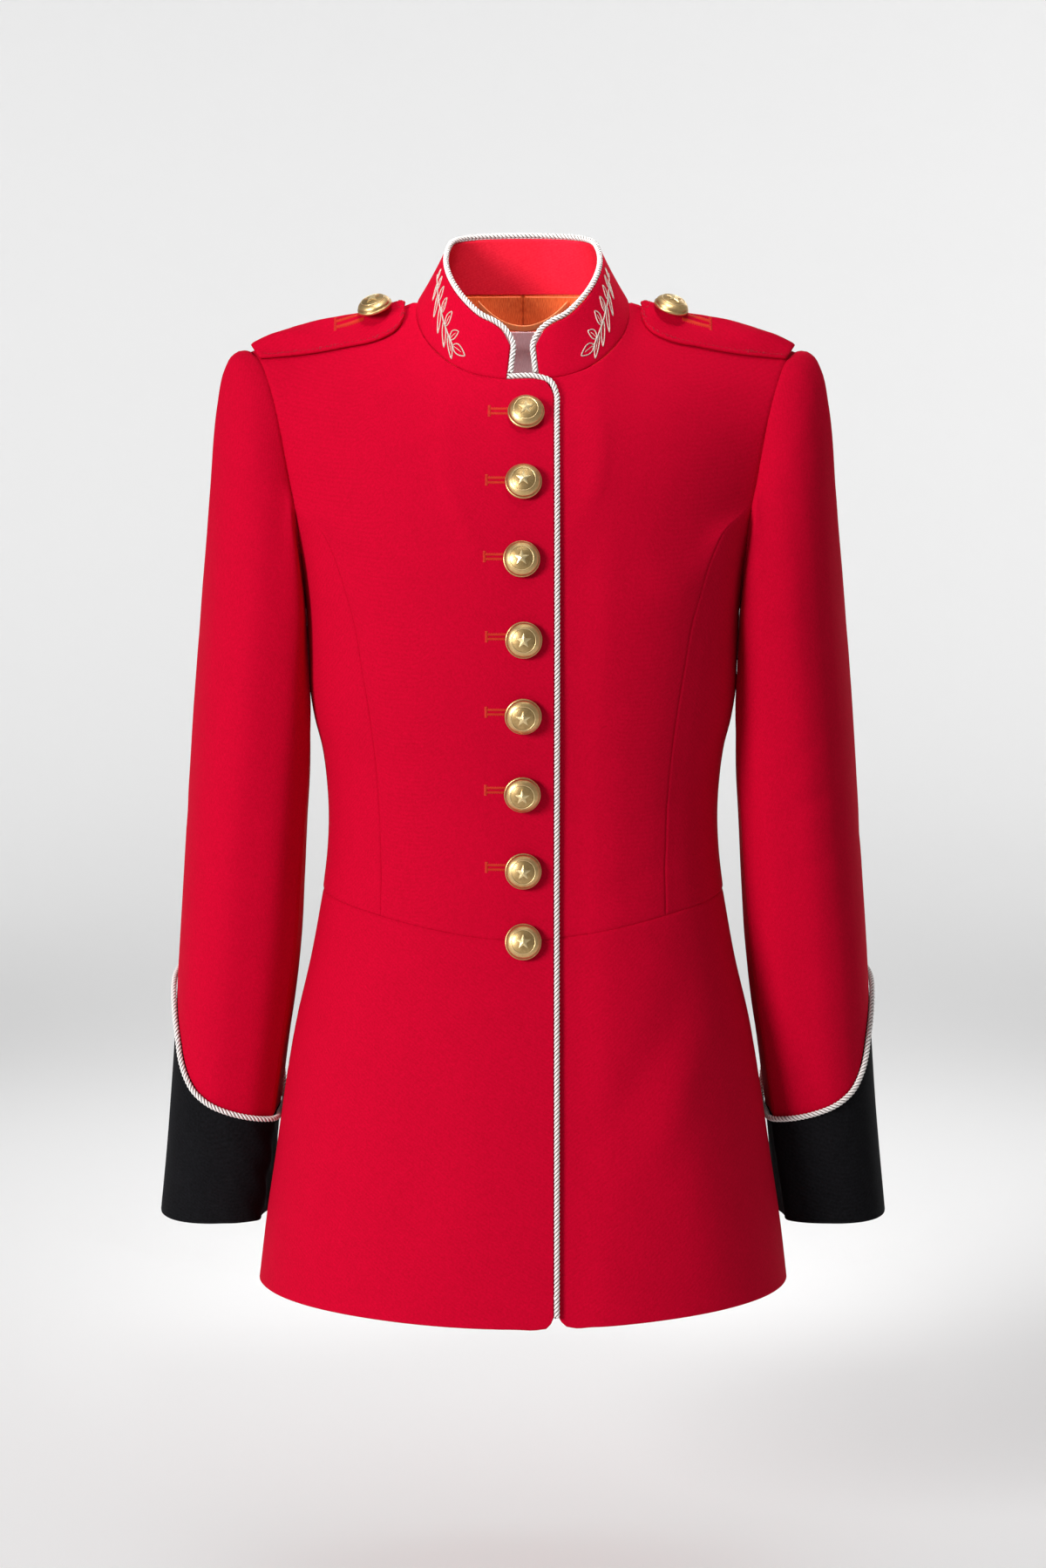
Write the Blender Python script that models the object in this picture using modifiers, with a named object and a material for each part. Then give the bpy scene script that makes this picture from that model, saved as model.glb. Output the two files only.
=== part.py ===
"""A fitted military-style jacket, filled out as when worn, with nobody in it.

Metres, +Z up. The origin is the middle of the neck base, between the two points where the
shoulder seams meet the collar. The front faces -Y and the wearer's left is +X. The right
front laps over the left one. Every cut piece is a wall of its own, about 0.3 mm from the
next one along each seam.
"""

import math

import bmesh
import bpy
import numpy as np
from mathutils import Vector
from mathutils.bvhtree import BVHTree
from mathutils.kdtree import KDTree

# ------------------------------------------------------------------ driving dimensions
BODY_CLOTH = 0.0020
SLEEVE_CLOTH = 0.0018
CUFF_CLOTH = 0.0022
COLLAR_CLOTH = 0.0028
STRAP_CLOTH = 0.0030
LINING_CLOTH = 0.0010
SEAM_GAP = 0.0003

FRONT_EDGE = 0.0205  # how far each front runs past the centre line
LEFT_HEM_EDGE = -0.0250  # the left front's edge swings back to its own side at the hem
TUCK = 0.0030  # the left front lies this much further in, under the right front
TUCK_FROM, TUCK_TO = 0.030, 0.060  # own-side x where the left front comes out again
NECK_CORNERS = (0.011, 0.031)  # radii where the right and left fronts turn into the neckline
HEM_CORNER = 0.008

CORD_RADIUS = 0.00175
CORD_CLEAR = 0.0007
BUTTON_RADIUS = 0.0122
BUTTON_RISE = 0.0064
BUTTON_RIM = 0.0020
SHANK_RADIUS = 0.0035
SHANK_LENGTH = 0.0022

WAIST_FRONT, WAIST_SIDE = -0.426, -0.404
CHEST_FRONT, CHEST_BACK = -0.140, -0.130  # levels where the princess seams meet the armhole
ARMPIT = -0.212
HEM_FRONT, HEM_SIDE = -0.683, -0.677
SLEEVE_TOP = -0.235
CUFF_HEM = -0.6395
CUFF_PEAK_ANGLE = 310.0  # degrees round the sleeve, where the cuff stands highest
SLEEVE_ROOM, CUFF_ROOM = 0.0016, 0.0046  # between the sleeve and the side of the body

STRAP_TIP = 0.0795
STRAP_CENTRE = (0.0050, 0.0170)  # y of its centre line at the tip and at the armhole
STRAP_LIFT = 0.0001  # it is raised by steps of this until it is clear of the shoulder

LABEL_HALF_WIDTH = 0.024
LABEL_TOP, LABEL_BOTTOM = -0.0235, -0.0640
LABEL_THICKNESS = 0.0008
LOOP_HALF_SPAN = 0.031
LOOP_SAG = 0.017
LOOP_WIDTH = 0.0050
LOOP_THICKNESS = 0.0010

LEFT, RIGHT = 1, -1

# ------------------------------------------------------------------------- size tables
BODY_COLUMNS = ("z", "half_width", "front", "back", "square")
BODY = (
    (-0.690, 0.1855, 0.136, 0.133, 2.15),
    (-0.639, 0.1795, 0.132, 0.128, 2.15),
    (-0.571, 0.1688, 0.125, 0.120, 2.20),
    (-0.507, 0.1593, 0.117, 0.110, 2.20),
    (-0.455, 0.1474, 0.109, 0.097, 2.25),
    (-0.406, 0.1381, 0.102, 0.085, 2.25),
    (-0.351, 0.1336, 0.101, 0.080, 2.30),
    (-0.309, 0.1372, 0.108, 0.085, 2.30),
    (-0.275, 0.1449, 0.116, 0.091, 2.30),
    (-0.235, 0.1468, 0.121, 0.097, 2.35),
    (-0.212, 0.1480, 0.119, 0.100, 2.40),
    (-0.180, 0.1530, 0.114, 0.101, 2.40),
    (-0.140, 0.1620, 0.105, 0.099, 2.40),
    (-0.110, 0.1680, 0.094, 0.095, 2.40),
)
PRINCESS_FRONT_COLUMNS = ("z", "x")
PRINCESS_FRONT = (
    (-0.430, 0.0960),
    (-0.360, 0.0960),
    (-0.300, 0.0996),
    (-0.250, 0.1065),
    (-0.200, 0.1165),
    (-0.168, 0.1285),
    (-0.151, 0.1390),
    (CHEST_FRONT, 0.1540),
)
PRINCESS_BACK_COLUMNS = ("z", "x")
PRINCESS_BACK = (
    (-0.430, 0.0720),
    (-0.350, 0.0740),
    (-0.280, 0.0840),
    (-0.210, 0.1030),
    (-0.165, 0.1240),
    (CHEST_BACK, 0.1500),
)
NECK_COLUMNS = ("angle", "seam_x", "seam_y", "seam_z", "top_x", "top_y", "top_z")
NECK = (
    (0, 0.0000, -0.0670, -0.0555, 0.0000, -0.0575, -0.0235),
    (25, 0.0300, -0.0605, -0.0520, 0.0270, -0.0515, -0.0150),
    (45, 0.0500, -0.0475, -0.0435, 0.0425, -0.0365, -0.0015),
    (65, 0.0655, -0.0270, -0.0290, 0.0515, -0.0180, 0.0125),
    (85, 0.0725, -0.0050, -0.0135, 0.0545, 0.0010, 0.0240),
    (100, 0.0722, 0.0100, -0.0033, 0.0530, 0.0150, 0.0320),
    (130, 0.0580, 0.0375, 0.0020, 0.0430, 0.0330, 0.0385),
    (155, 0.0310, 0.0520, 0.0028, 0.0240, 0.0430, 0.0402),
    (180, 0.0000, 0.0570, 0.0030, 0.0000, 0.0460, 0.0407),
)
SHOULDER_ANGLE = 100.0  # where the shoulder seam meets the neck
SHOULDER_COLUMNS = ("x", "y", "z")
SHOULDER = (
    (0.0722, 0.0100, -0.0033),
    (0.0900, 0.0108, -0.0105),
    (0.1100, 0.0114, -0.0155),
    (0.1280, 0.0118, -0.0190),
    (0.1570, 0.0120, -0.0262),
    (0.1860, 0.0120, -0.0365),
)
ARMHOLE_COLUMNS = ("share", "x", "y", "z")
ARMHOLE_FRONT = (
    (0.000, 0.1540, -0.0425, -0.1400),
    (0.185, 0.1585, -0.0350, -0.1183),
    (0.415, 0.1638, -0.0285, -0.0905),
    (0.634, 0.1701, -0.0190, -0.0652),
    (0.878, 0.1795, -0.0010, -0.0420),
    (1.000, 0.1860, 0.0120, -0.0365),
)
ARMHOLE_BACK = (
    (0.000, 0.1500, 0.0489, -0.1300),
    (0.200, 0.1535, 0.0465, -0.1080),
    (0.417, 0.1590, 0.0420, -0.0850),
    (0.630, 0.1665, 0.0350, -0.0635),
    (0.842, 0.1770, 0.0245, -0.0450),
    (1.000, 0.1860, 0.0120, -0.0365),
)
SLEEVE_COLUMNS = ("z", "outer_x", "inner_x", "centre_y", "half_depth", "turn")
SLEEVE = (
    (-0.6400, 0.2557, 0.1760, 0.036, 0.0470, 6),
    (-0.5660, 0.2482, 0.1705, 0.031, 0.0500, 7),
    (-0.5100, 0.2438, 0.1635, 0.026, 0.0530, 8),
    (-0.4530, 0.2399, 0.1562, 0.021, 0.0560, 9),
    (-0.3925, 0.2353, 0.1522, 0.016, 0.0580, 10),
    (-0.3360, 0.2314, 0.1495, 0.011, 0.0600, 12),
    (-0.2850, 0.2275, 0.1460, 0.007, 0.0610, 13),
    (-0.2350, 0.2232, 0.1425, 0.004, 0.0615, 14),
)
CUFF_TOP_COLUMNS = ("degrees_from_peak", "z")
CUFF_TOP = (
    (0, -0.4650),
    (45, -0.4810),
    (79, -0.5080),
    (101, -0.5370),
    (121, -0.5514),
    (148, -0.5610),
    (180, -0.5655),
)
# Own-side x of each grid line where it crosses the chest, from the front edge to the armhole.
FRONT_LINES = (
    -FRONT_EDGE, -0.0165, -0.0095, 0.0105, 0.0145, 0.0205, 0.0300, 0.0420,
    0.0550, 0.0660, 0.0740, 0.0820, 0.1010, 0.1200, 0.1380, 0.1540,
)
FRONT_NECK_ANGLES = (9, 12.5, 18, 27, 40, 55, 71, 86, SHOULDER_ANGLE)
BACK_LINES = (0.0, 0.018, 0.036, 0.052, 0.067, 0.081, 0.100, 0.118, 0.135, 0.150)
BACK_NECK_ANGLES = (180, 162, 145, 128, 113, SHOULDER_ANGLE)
SHOULDER_LINES = (0.0722, 0.1000, 0.1290, 0.1580, 0.1860)
STRAP_COLUMNS = ("along", "half_width")
STRAP = (
    (0.00, 0.0050),
    (0.03, 0.0118),
    (0.08, 0.0160),
    (0.18, 0.0188),
    (0.45, 0.0195),
    (1.00, 0.0195),
)
STRAP_STEPS = (0.0, 0.025, 0.07, 0.14, 0.25, 0.40, 0.56, 0.72, 0.87, 1.0)
STRAP_ACROSS = (-1.0, -0.67, -0.33, 0.0, 0.33, 0.67, 1.0)
BUTTON_COLUMNS = ("x", "z")
BUTTONS = (
    (0.0020, -0.0781),
    (0.0003, -0.1229),
    (-0.0010, -0.1725),
    (0.0004, -0.2245),
    (0.0000, -0.2744),
    (-0.0005, -0.3274),
    (0.0000, -0.3796),
    (0.0000, -0.4270),
)
BODICE_STEPS = (0.0, 0.13, 0.26, 0.39, 0.51, 0.62, 0.72, 0.81, 0.88, 0.945, 1.0)
BODICE_ROWS = len(BODICE_STEPS) - 1
YOKE_ROWS, SKIRT_ROWS, SIDE_LINES = 7, 6, 8
ARMHOLE_REACH = 5  # how many grid lines beside the armhole bend with it
SLEEVE_ROWS, CUFF_ROWS, COLLAR_ROWS = 8, 3, 3
CAP_STEPS = (0.0, 0.09, 0.19, 0.32, 0.50, 0.73, 1.0)
FREE_LINES = len(FRONT_LINES) - len(FRONT_NECK_ANGLES) - len(SHOULDER_LINES) + 1


# ---------------------------------------------------------------------------- helpers
def smooth_table(rows, columns):
    """A function of the first column that gives another column, through a smooth cubic."""
    data = np.array(sorted(rows), float)
    key = data[:, 0]

    def look_up(name, at):
        values = data[:, columns.index(name)]
        slopes = np.gradient(values, key)
        at = min(max(at, key[0]), key[-1])
        i = min(int(np.searchsorted(key, at, side="right")) - 1, len(key) - 2)
        width = key[i + 1] - key[i]
        t = (at - key[i]) / width
        return float(
            (2 * t**3 - 3 * t**2 + 1) * values[i]
            + (t**3 - 2 * t**2 + t) * width * slopes[i]
            + (3 * t**2 - 2 * t**3) * values[i + 1]
            + (t**3 - t**2) * width * slopes[i + 1]
        )

    return look_up


body_size = smooth_table(BODY, BODY_COLUMNS)
princess_front = smooth_table(PRINCESS_FRONT, PRINCESS_FRONT_COLUMNS)
princess_back = smooth_table(PRINCESS_BACK, PRINCESS_BACK_COLUMNS)
neck_size = smooth_table(NECK, NECK_COLUMNS)
shoulder_size = smooth_table(SHOULDER, SHOULDER_COLUMNS)
sleeve_size = smooth_table(SLEEVE, SLEEVE_COLUMNS)
cuff_top = smooth_table(CUFF_TOP, CUFF_TOP_COLUMNS)
strap_size = smooth_table(STRAP, STRAP_COLUMNS)


def mix(a, b, t):
    return a + (b - a) * t


def ease(t):
    t = min(max(t, 0.0), 1.0)
    return t * t * (3 - 2 * t)


def unit(v):
    v = np.array(v, float)
    return v / np.linalg.norm(v)


def fractions(count):
    return [i / count for i in range(count + 1)]


# ------------------------------------------------------------------- the garment's form
def torso(angle, z):
    """A point on the outside of the body of the jacket. 0 degrees is the centre front and
    180 the centre back."""
    s, c = math.sin(math.radians(angle)), math.cos(math.radians(angle))
    depth = body_size("front" if c > 0 else "back", z)
    square = body_size("square", z)
    width = body_size("half_width", z)
    reach = (abs(s / width) ** square + abs(c / depth) ** square) ** (-1 / square)
    return np.array((reach * s, -reach * c, z))


def angle_at(x, z, side_of_body):
    """The angle where the body is x wide at level z, on its front or its back."""
    square = body_size("square", z)
    share = min(abs(x) / body_size("half_width", z), 1.0)
    y = body_size(side_of_body, z) * (1 - share**square) ** (1 / square)
    found = math.degrees(math.atan2(x, y))
    return found if side_of_body == "front" else 180.0 - found


def side_x(y, z):
    """How wide the body is at depth y and level z."""
    depth = body_size("front" if y < 0 else "back", z)
    square = body_size("square", z)
    return body_size("half_width", z) * max(0.0, 1 - abs(y / depth) ** square) ** (1 / square)


def waist_z(angle):
    if angle >= 90:
        return WAIST_SIDE
    return WAIST_FRONT + (WAIST_SIDE - WAIST_FRONT) * math.sin(math.radians(angle)) ** 2


def tucked(point, side):
    """The left front and the left end of the collar lie in under the right front."""
    if side == LEFT:
        point = point.copy()
        point[1] += TUCK * ease((TUCK_TO - point[0]) / (TUCK_TO - TUCK_FROM))
    return point


def front_low(line, t):
    """The front bodice below the chest: line is 0 to 1 across, t is 0 at the waist."""
    angle = 40.0
    for _ in range(6):
        z = mix(waist_z(angle), CHEST_FRONT, t)
        x = -FRONT_EDGE + line * (princess_front("x", z) + FRONT_EDGE)
        angle = angle_at(x, z, "front")
    return torso(angle, z)


def back_low(line, t):
    """The back bodice below the shoulder blades: line is 0 at the centre back."""
    z = mix(WAIST_SIDE, CHEST_BACK, t)
    end = angle_at(princess_back("x", z), z, "back")
    return torso(mix(180.0, end, line), z)


def neck_seam(angle):
    return np.array([neck_size(f"seam_{c}", angle) for c in "xyz"])


def neck_angle(x):
    """Where round the neck its seam is x wide, near the front."""
    low, high = 0.0, 60.0
    for _ in range(30):
        middle = (low + high) / 2
        low, high = (middle, high) if neck_size("seam_x", middle) < x else (low, middle)
    return low


def neck_corner_drop(x, side):
    """How far the free edge lies below the neckline, where its corner is rounded off."""
    radius = NECK_CORNERS[side == LEFT]
    over = min(max(0.0, radius - FRONT_EDGE - x), radius)
    return radius - math.sqrt(radius**2 - over**2)


def shoulder_seam(x):
    return np.array((x, shoulder_size("y", x), shoulder_size("z", x)))


def arch(start, along_start, end, along_end, t):
    """A cubic from start to end that leaves and arrives along the given directions."""
    reach = np.linalg.norm(end - start)
    return (
        (2 * t**3 - 3 * t**2 + 1) * start
        + (t**3 - 2 * t**2 + t) * reach * along_start
        + (3 * t**2 - 2 * t**3) * end
        + (t**3 - t**2) * reach * along_end
    )


def yoke_column(start, below, end, rise, lean, forward, t):
    """One grid line from the chest up to the neckline or the shoulder seam."""
    rise = math.radians(rise)
    arriving = unit((lean, forward * math.cos(rise), math.sin(rise)))
    return arch(start, unit(start - below), end, arriving, t)


def top_of_line(index, lines, neck_angles):
    """(point, steepness in degrees, lean) where a grid line ends at the top."""
    free = len(lines) - len(neck_angles) - len(SHOULDER_LINES) + 1
    if index < free:
        angle = neck_angle(abs(lines[index]))
        end = neck_seam(angle) * np.array((-1.0, 1.0, 1.0))
        return end, 62.0 * math.cos(math.radians(angle * 0.66)), 0.0
    index -= free
    if index < len(neck_angles) - 1:
        angle = neck_angles[index]
        steep = 62.0 * math.cos(math.radians(angle * 0.66 if angle < SHOULDER_ANGLE else 0))
        if angle > SHOULDER_ANGLE:
            steep = mix(24.0, 62.0, ease((angle - SHOULDER_ANGLE) / 60.0))
        return neck_seam(angle), steep, -0.25 * math.sin(math.radians(angle)) ** 2
    index -= len(neck_angles) - 1
    steep = (24.0, 15.0, 11.0, 9.0, 6.0)[index]
    lean = (-0.12, 0.0, 0.0, 0.02, 0.05)[index]
    return shoulder_seam(SHOULDER_LINES[index]), steep, lean


def front_line(index, side):
    """One grid line of the front bodice, from the waist to the top, as a list of points."""
    across = (FRONT_LINES[index] + FRONT_EDGE) / (FRONT_LINES[-1] + FRONT_EDGE)
    points = [front_low(across, t) for t in BODICE_STEPS]
    end, steep, lean = top_of_line(index, FRONT_LINES, FRONT_NECK_ANGLES)
    below = front_low(across, 0.97)
    start = points[-1]
    last = 1.0
    drop = neck_corner_drop(FRONT_LINES[index], side) if index < FREE_LINES else 0.0
    while drop and yoke_column(start, below, end, steep, lean, 1.0, last)[2] > end[2] - drop:
        last -= 0.002
    return points + [
        yoke_column(start, below, end, steep, lean, 1.0, t * last)
        for t in fractions(YOKE_ROWS)[1:]
    ]


def settled(lines, armhole, first):
    """Bends the lines near the armhole to its own curve, and evens out the yoke between."""
    lines = np.array(lines)
    rows = slice(BODICE_ROWS, None)
    curve = smooth_table(armhole, ARMHOLE_COLUMNS)
    shift = np.array([[curve(c, t) for c in "xyz"] for t in fractions(YOKE_ROWS)])
    shift = shift - lines[-1, rows]
    shift[0] = 0.0
    for n in range(ARMHOLE_REACH):
        lines[-1 - n, rows] += shift * ease(1 - n / ARMHOLE_REACH)
    low = BODICE_ROWS - 3
    for _ in range(8):
        yoke = lines[:, low:]
        middle = yoke[2:, 1:-1] + yoke[:-2, 1:-1] + yoke[1:-1, 2:] + yoke[1:-1, :-2]
        lines[first:-1, low + 1 : -1] = middle[first - 1 :] / 4
    return lines


def back_line(index):
    across = BACK_LINES[index] / BACK_LINES[-1]
    points = [back_low(across, t) for t in BODICE_STEPS]
    end, steep, lean = top_of_line(index, BACK_LINES, BACK_NECK_ANGLES)
    below = back_low(across, 0.97)
    return points + [
        yoke_column(points[BODICE_ROWS], below, end, steep, lean, -1.0, t)
        for t in fractions(YOKE_ROWS)[1:]
    ]


def armhole_bottom(s):
    """(angle, z) along the lower part of the armhole, from the front seam to the back one."""
    turn = math.radians(180 * (s - 0.5))
    if s < 0.5:
        end = angle_at(PRINCESS_FRONT[-1][1], CHEST_FRONT, "front")
        return 90 + (90 - end) * math.sin(turn), mix(CHEST_FRONT, ARMPIT, math.cos(turn))
    end = angle_at(PRINCESS_BACK[-1][1], CHEST_BACK, "back")
    return 90 + (end - 90) * math.sin(turn), mix(CHEST_BACK, ARMPIT, math.cos(turn))


def waist_side_angle(s):
    """Where the side panel's lines cross the waist seam."""
    start = front_low(1.0, 0.0)
    first = math.degrees(math.atan2(start[0], -start[1]))
    last = angle_at(princess_back("x", WAIST_SIDE), WAIST_SIDE, "back")
    return mix(first, last, s)


def side_panel():
    """The panel under the arm, blended between its four edges in angle and height."""

    def left(t):
        p = front_low(1.0, t)
        return np.array((math.degrees(math.atan2(p[0], -p[1])), p[2]))

    def right(t):
        p = back_low(1.0, t)
        return np.array((math.degrees(math.atan2(p[0], -p[1])), p[2]))

    def bottom(s):
        angle = waist_side_angle(s)
        return np.array((angle, waist_z(angle)))

    def top(s):
        return np.array(armhole_bottom(s))

    lines = []
    for s in fractions(SIDE_LINES):
        line = []
        for t in BODICE_STEPS:
            flat = (1 - t) * bottom(s) + t * top(s) + (1 - s) * left(t) + s * right(t)
            flat = flat - (1 - s) * ((1 - t) * bottom(0) + t * top(0))
            flat = flat - s * ((1 - t) * bottom(1) + t * top(1))
            line.append(torso(*flat))
        lines.append(line)
    return np.array(lines)


def skirt_panel(waist_angles, edge_angle, hem_edge_x, corner):
    """A skirt panel that hangs from the waist seam. edge_angle(z) is its first long edge."""
    first, last = waist_angles[0], waist_angles[-1]
    lines = []
    for waist_angle in waist_angles:
        share = (waist_angle - first) / (last - first)
        hem_angle = mix(edge_angle(HEM_SIDE), last, share)
        hem = HEM_FRONT if hem_angle <= 0 else HEM_SIDE
        if 0 < hem_angle < 90:
            hem = mix(HEM_FRONT, HEM_SIDE, math.sin(math.radians(hem_angle)) ** 2)
        if corner:
            over = max(0.0, hem_edge_x + corner - torso(hem_angle, HEM_SIDE)[0])
            hem += corner - math.sqrt(max(corner**2 - over**2, 0.0))
        line = []
        for t in fractions(SKIRT_ROWS):
            z = mix(waist_z(waist_angle), hem, t)
            line.append(torso(mix(edge_angle(z), last, share), z))
        lines.append(line)
    return np.array(lines)


def front_waist_angles():
    points = [
        front_low((x + FRONT_EDGE) / (FRONT_LINES[-1] + FRONT_EDGE), 0.0) for x in FRONT_LINES
    ]
    angles = [math.degrees(math.atan2(p[0], -p[1])) for p in points]
    return angles + [waist_side_angle(s) for s in fractions(SIDE_LINES)[1 : SIDE_LINES // 2 + 1]]


def back_waist_angles():
    last = angle_at(princess_back("x", WAIST_SIDE), WAIST_SIDE, "back")
    angles = [mix(180.0, last, x / BACK_LINES[-1]) for x in BACK_LINES]
    half = fractions(SIDE_LINES)[SIDE_LINES // 2 : SIDE_LINES]
    return angles + [waist_side_angle(s) for s in reversed(half)]


def skirt_front(side):
    def edge_x(z):
        if side == RIGHT:
            return -FRONT_EDGE
        down = (WAIST_FRONT - z) / (WAIST_FRONT - HEM_FRONT)
        return mix(-FRONT_EDGE, -LEFT_HEM_EDGE, min(max(down, 0.0), 1.0) ** 1.15)

    def edge_angle(z):
        return angle_at(edge_x(z), z, "front")

    lines = skirt_panel(front_waist_angles(), edge_angle, edge_x(HEM_SIDE), HEM_CORNER)
    return np.array([[tucked(p, side) for p in line] for line in lines])


def skirt_back():
    return skirt_panel(back_waist_angles(), lambda z: 180.0, 0.0, 0.0)


def round_sleeve(degrees, z):
    """A point on the sleeve below the armhole. 0 is its outer side and 90 its front."""
    outer, inner = sleeve_size("outer_x", z), sleeve_size("inner_x", z)
    deep, turn = sleeve_size("half_depth", z), math.radians(sleeve_size("turn", z))
    reach = (outer - inner) / 2
    wide = math.sqrt(reach**2 - (deep * math.sin(turn)) ** 2) / math.cos(turn)
    c, s = math.cos(math.radians(degrees)), math.sin(math.radians(degrees))
    square = 3.1 if 90 < degrees % 360 < 180 else 2.25
    r = (abs(c / wide) ** square + abs(s / deep) ** square) ** (-1 / square)
    x, y = r * c, -r * s
    x, y = x * math.cos(turn) + y * math.sin(turn), y * math.cos(turn) - x * math.sin(turn)
    return np.array(((outer + inner) / 2 + x, sleeve_size("centre_y", z) + y, z))


def beside_body(point, share=1.0):
    """Moves a sleeve point outwards until it is clear of the side of the body, with more
    room at the cuff, whose piping stands proud."""
    room = mix(SLEEVE_ROOM, CUFF_ROOM, ease((-0.50 - point[2]) / 0.04))
    least = side_x(point[1], point[2]) + room * share
    soft = 0.0012
    x = 0.5 * (point[0] + least + math.sqrt((point[0] - least) ** 2 + soft**2))
    return np.array((x, point[1], point[2]))


def sleeve_lines(armhole):
    """The whole sleeve as grid lines: each starts on the armhole and ends at the cuff's hem."""
    steps = np.linalg.norm(np.diff(armhole, axis=0), axis=1)
    front = steps[: YOKE_ROWS + SIDE_LINES // 2]
    back = steps[YOKE_ROWS + SIDE_LINES // 2 :]
    turns = np.concatenate(
        ([0], 180 * np.cumsum(front) / front.sum(), 180 + 180 * np.cumsum(back) / back.sum())
    )
    lines = []
    for start, turn in zip(armhole, turns):
        c, s = math.cos(math.radians(turn)), math.sin(math.radians(turn))
        end = round_sleeve(turn, SLEEVE_TOP)
        rising = unit(end - round_sleeve(turn, SLEEVE_TOP - 0.02))
        over = max(c, 0.0)
        near = start + np.array((0.0050 + 0.0215 * over, -0.0060 * s, 0.0060 * over))
        far = end + rising * (start[2] - end[2]) * (0.52 + 0.28 * over)
        far[0] += 0.0030 * over
        line = []
        for t in CAP_STEPS:
            p = (1 - t) ** 3 * start + 3 * t * (1 - t) ** 2 * near
            p = p + 3 * t**2 * (1 - t) * far + t**3 * end
            if t > 0 and p[2] < CHEST_BACK + 0.02:
                p = beside_body(p, ease(t * 3))
            line.append(p)
        cuff_z = cuff_edge(turn)
        for t in fractions(SLEEVE_ROWS)[1:]:
            line.append(beside_body(round_sleeve(turn, mix(SLEEVE_TOP, cuff_z, t))))
        for t in fractions(CUFF_ROWS)[1:]:
            line.append(beside_body(round_sleeve(turn, mix(cuff_z, CUFF_HEM, t))))
        lines.append(line)
    return np.array(lines)


def cuff_edge(turn):
    away = abs((turn - CUFF_PEAK_ANGLE + 180) % 360 - 180)
    return cuff_top("z", away)


# ------------------------------------------------------------------------ cloth as walls
cloth = {}  # node name: its grid of outer points and how its wall is made


def add_cloth(name, grid, thickness, seams, colour, closed=False, room=SEAM_GAP / 2):
    """Keeps a panel. Its grid runs from line to line, and along each line from point to
    point. seams names the sides that are sewn: first, last (lines), start, end (points)."""
    cloth[name] = {
        "grid": np.array(grid, float),
        "thickness": thickness,
        "seams": seams,
        "colour": colour,
        "closed": closed,
        "room": room,
    }


def grid_normals(grid, closed):
    """Unit normals at each point, from the faces round it, pointing either way."""
    lines = grid.shape[0]
    total = np.zeros_like(grid)
    for i in range(lines if closed else lines - 1):
        k = (i + 1) % lines
        for j in range(grid.shape[1] - 1):
            normal = np.cross(grid[k, j + 1] - grid[i, j], grid[i, j + 1] - grid[k, j])
            normal = normal / max(np.linalg.norm(normal), 1e-12)
            for corner in ((i, j), (k, j), (i, j + 1), (k, j + 1)):
                total[corner] += normal
    return total / np.linalg.norm(total, axis=2, keepdims=True)


def outward_normals(piece):
    """Turns the normals so that they point away from the hollow inside the piece."""
    grid = piece["grid"]
    normals = grid_normals(grid, piece["closed"])
    inside = piece["inside"](grid)
    if ((grid - inside) * normals).sum() < 0:
        normals = -normals
    return normals


def inside_body(grid):
    axis = np.zeros_like(grid)
    axis[..., 2] = np.minimum(grid[..., 2], -0.10)
    return axis


def inside_sleeve(side):
    def middle(grid):
        axis = grid.copy()
        for index in np.ndindex(grid.shape[:2]):
            z = min(grid[index][2], SLEEVE_TOP)
            wide = sleeve_size("outer_x", z) + sleeve_size("inner_x", z)
            axis[index] = (side * wide / 2, sleeve_size("centre_y", z), z)
        return axis

    return middle


def shared_normals(pieces):
    """Where panels are sewn together they share one direction through the wall, so that
    their edges face each other. It is longer where they meet at an angle, as in a mitre."""
    entries = []
    for name, piece in pieces.items():
        piece["normals"] = outward_normals(piece)
        for index in np.ndindex(piece["grid"].shape[:2]):
            entries.append((name, index))
    tree = KDTree(len(entries))
    for number, (name, index) in enumerate(entries):
        tree.insert(pieces[name]["grid"][index], number)
    tree.balance()
    through = {name: piece["normals"].copy() for name, piece in pieces.items()}
    for name, index in entries:
        point = pieces[name]["grid"][index]
        met = [entries[n] for _, n, _ in tree.find_range(point, 2e-5)]
        if len(met) == 1:
            continue
        normals = np.array([pieces[other]["normals"][at] for other, at in met])
        middle = unit(normals.sum(axis=0))
        through[name][index] = middle / max((normals @ middle).mean(), 0.62)
    return through


def pull_back(grid, side, amount):
    """Moves one side of a grid in, square to that side, to leave room at a seam."""
    edge, inner = {
        "first": (np.s_[0], np.s_[1]),
        "last": (np.s_[-1], np.s_[-2]),
        "start": (np.s_[:, 0], np.s_[:, 1]),
        "end": (np.s_[:, -1], np.s_[:, -2]),
    }[side]
    along = np.gradient(grid[edge], axis=0)
    along /= np.linalg.norm(along, axis=1, keepdims=True)
    inwards = grid[inner] - grid[edge]
    inwards -= (inwards * along).sum(axis=1, keepdims=True) * along
    inwards /= np.linalg.norm(inwards, axis=1, keepdims=True)
    grid[edge] = grid[edge] + inwards * amount


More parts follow.
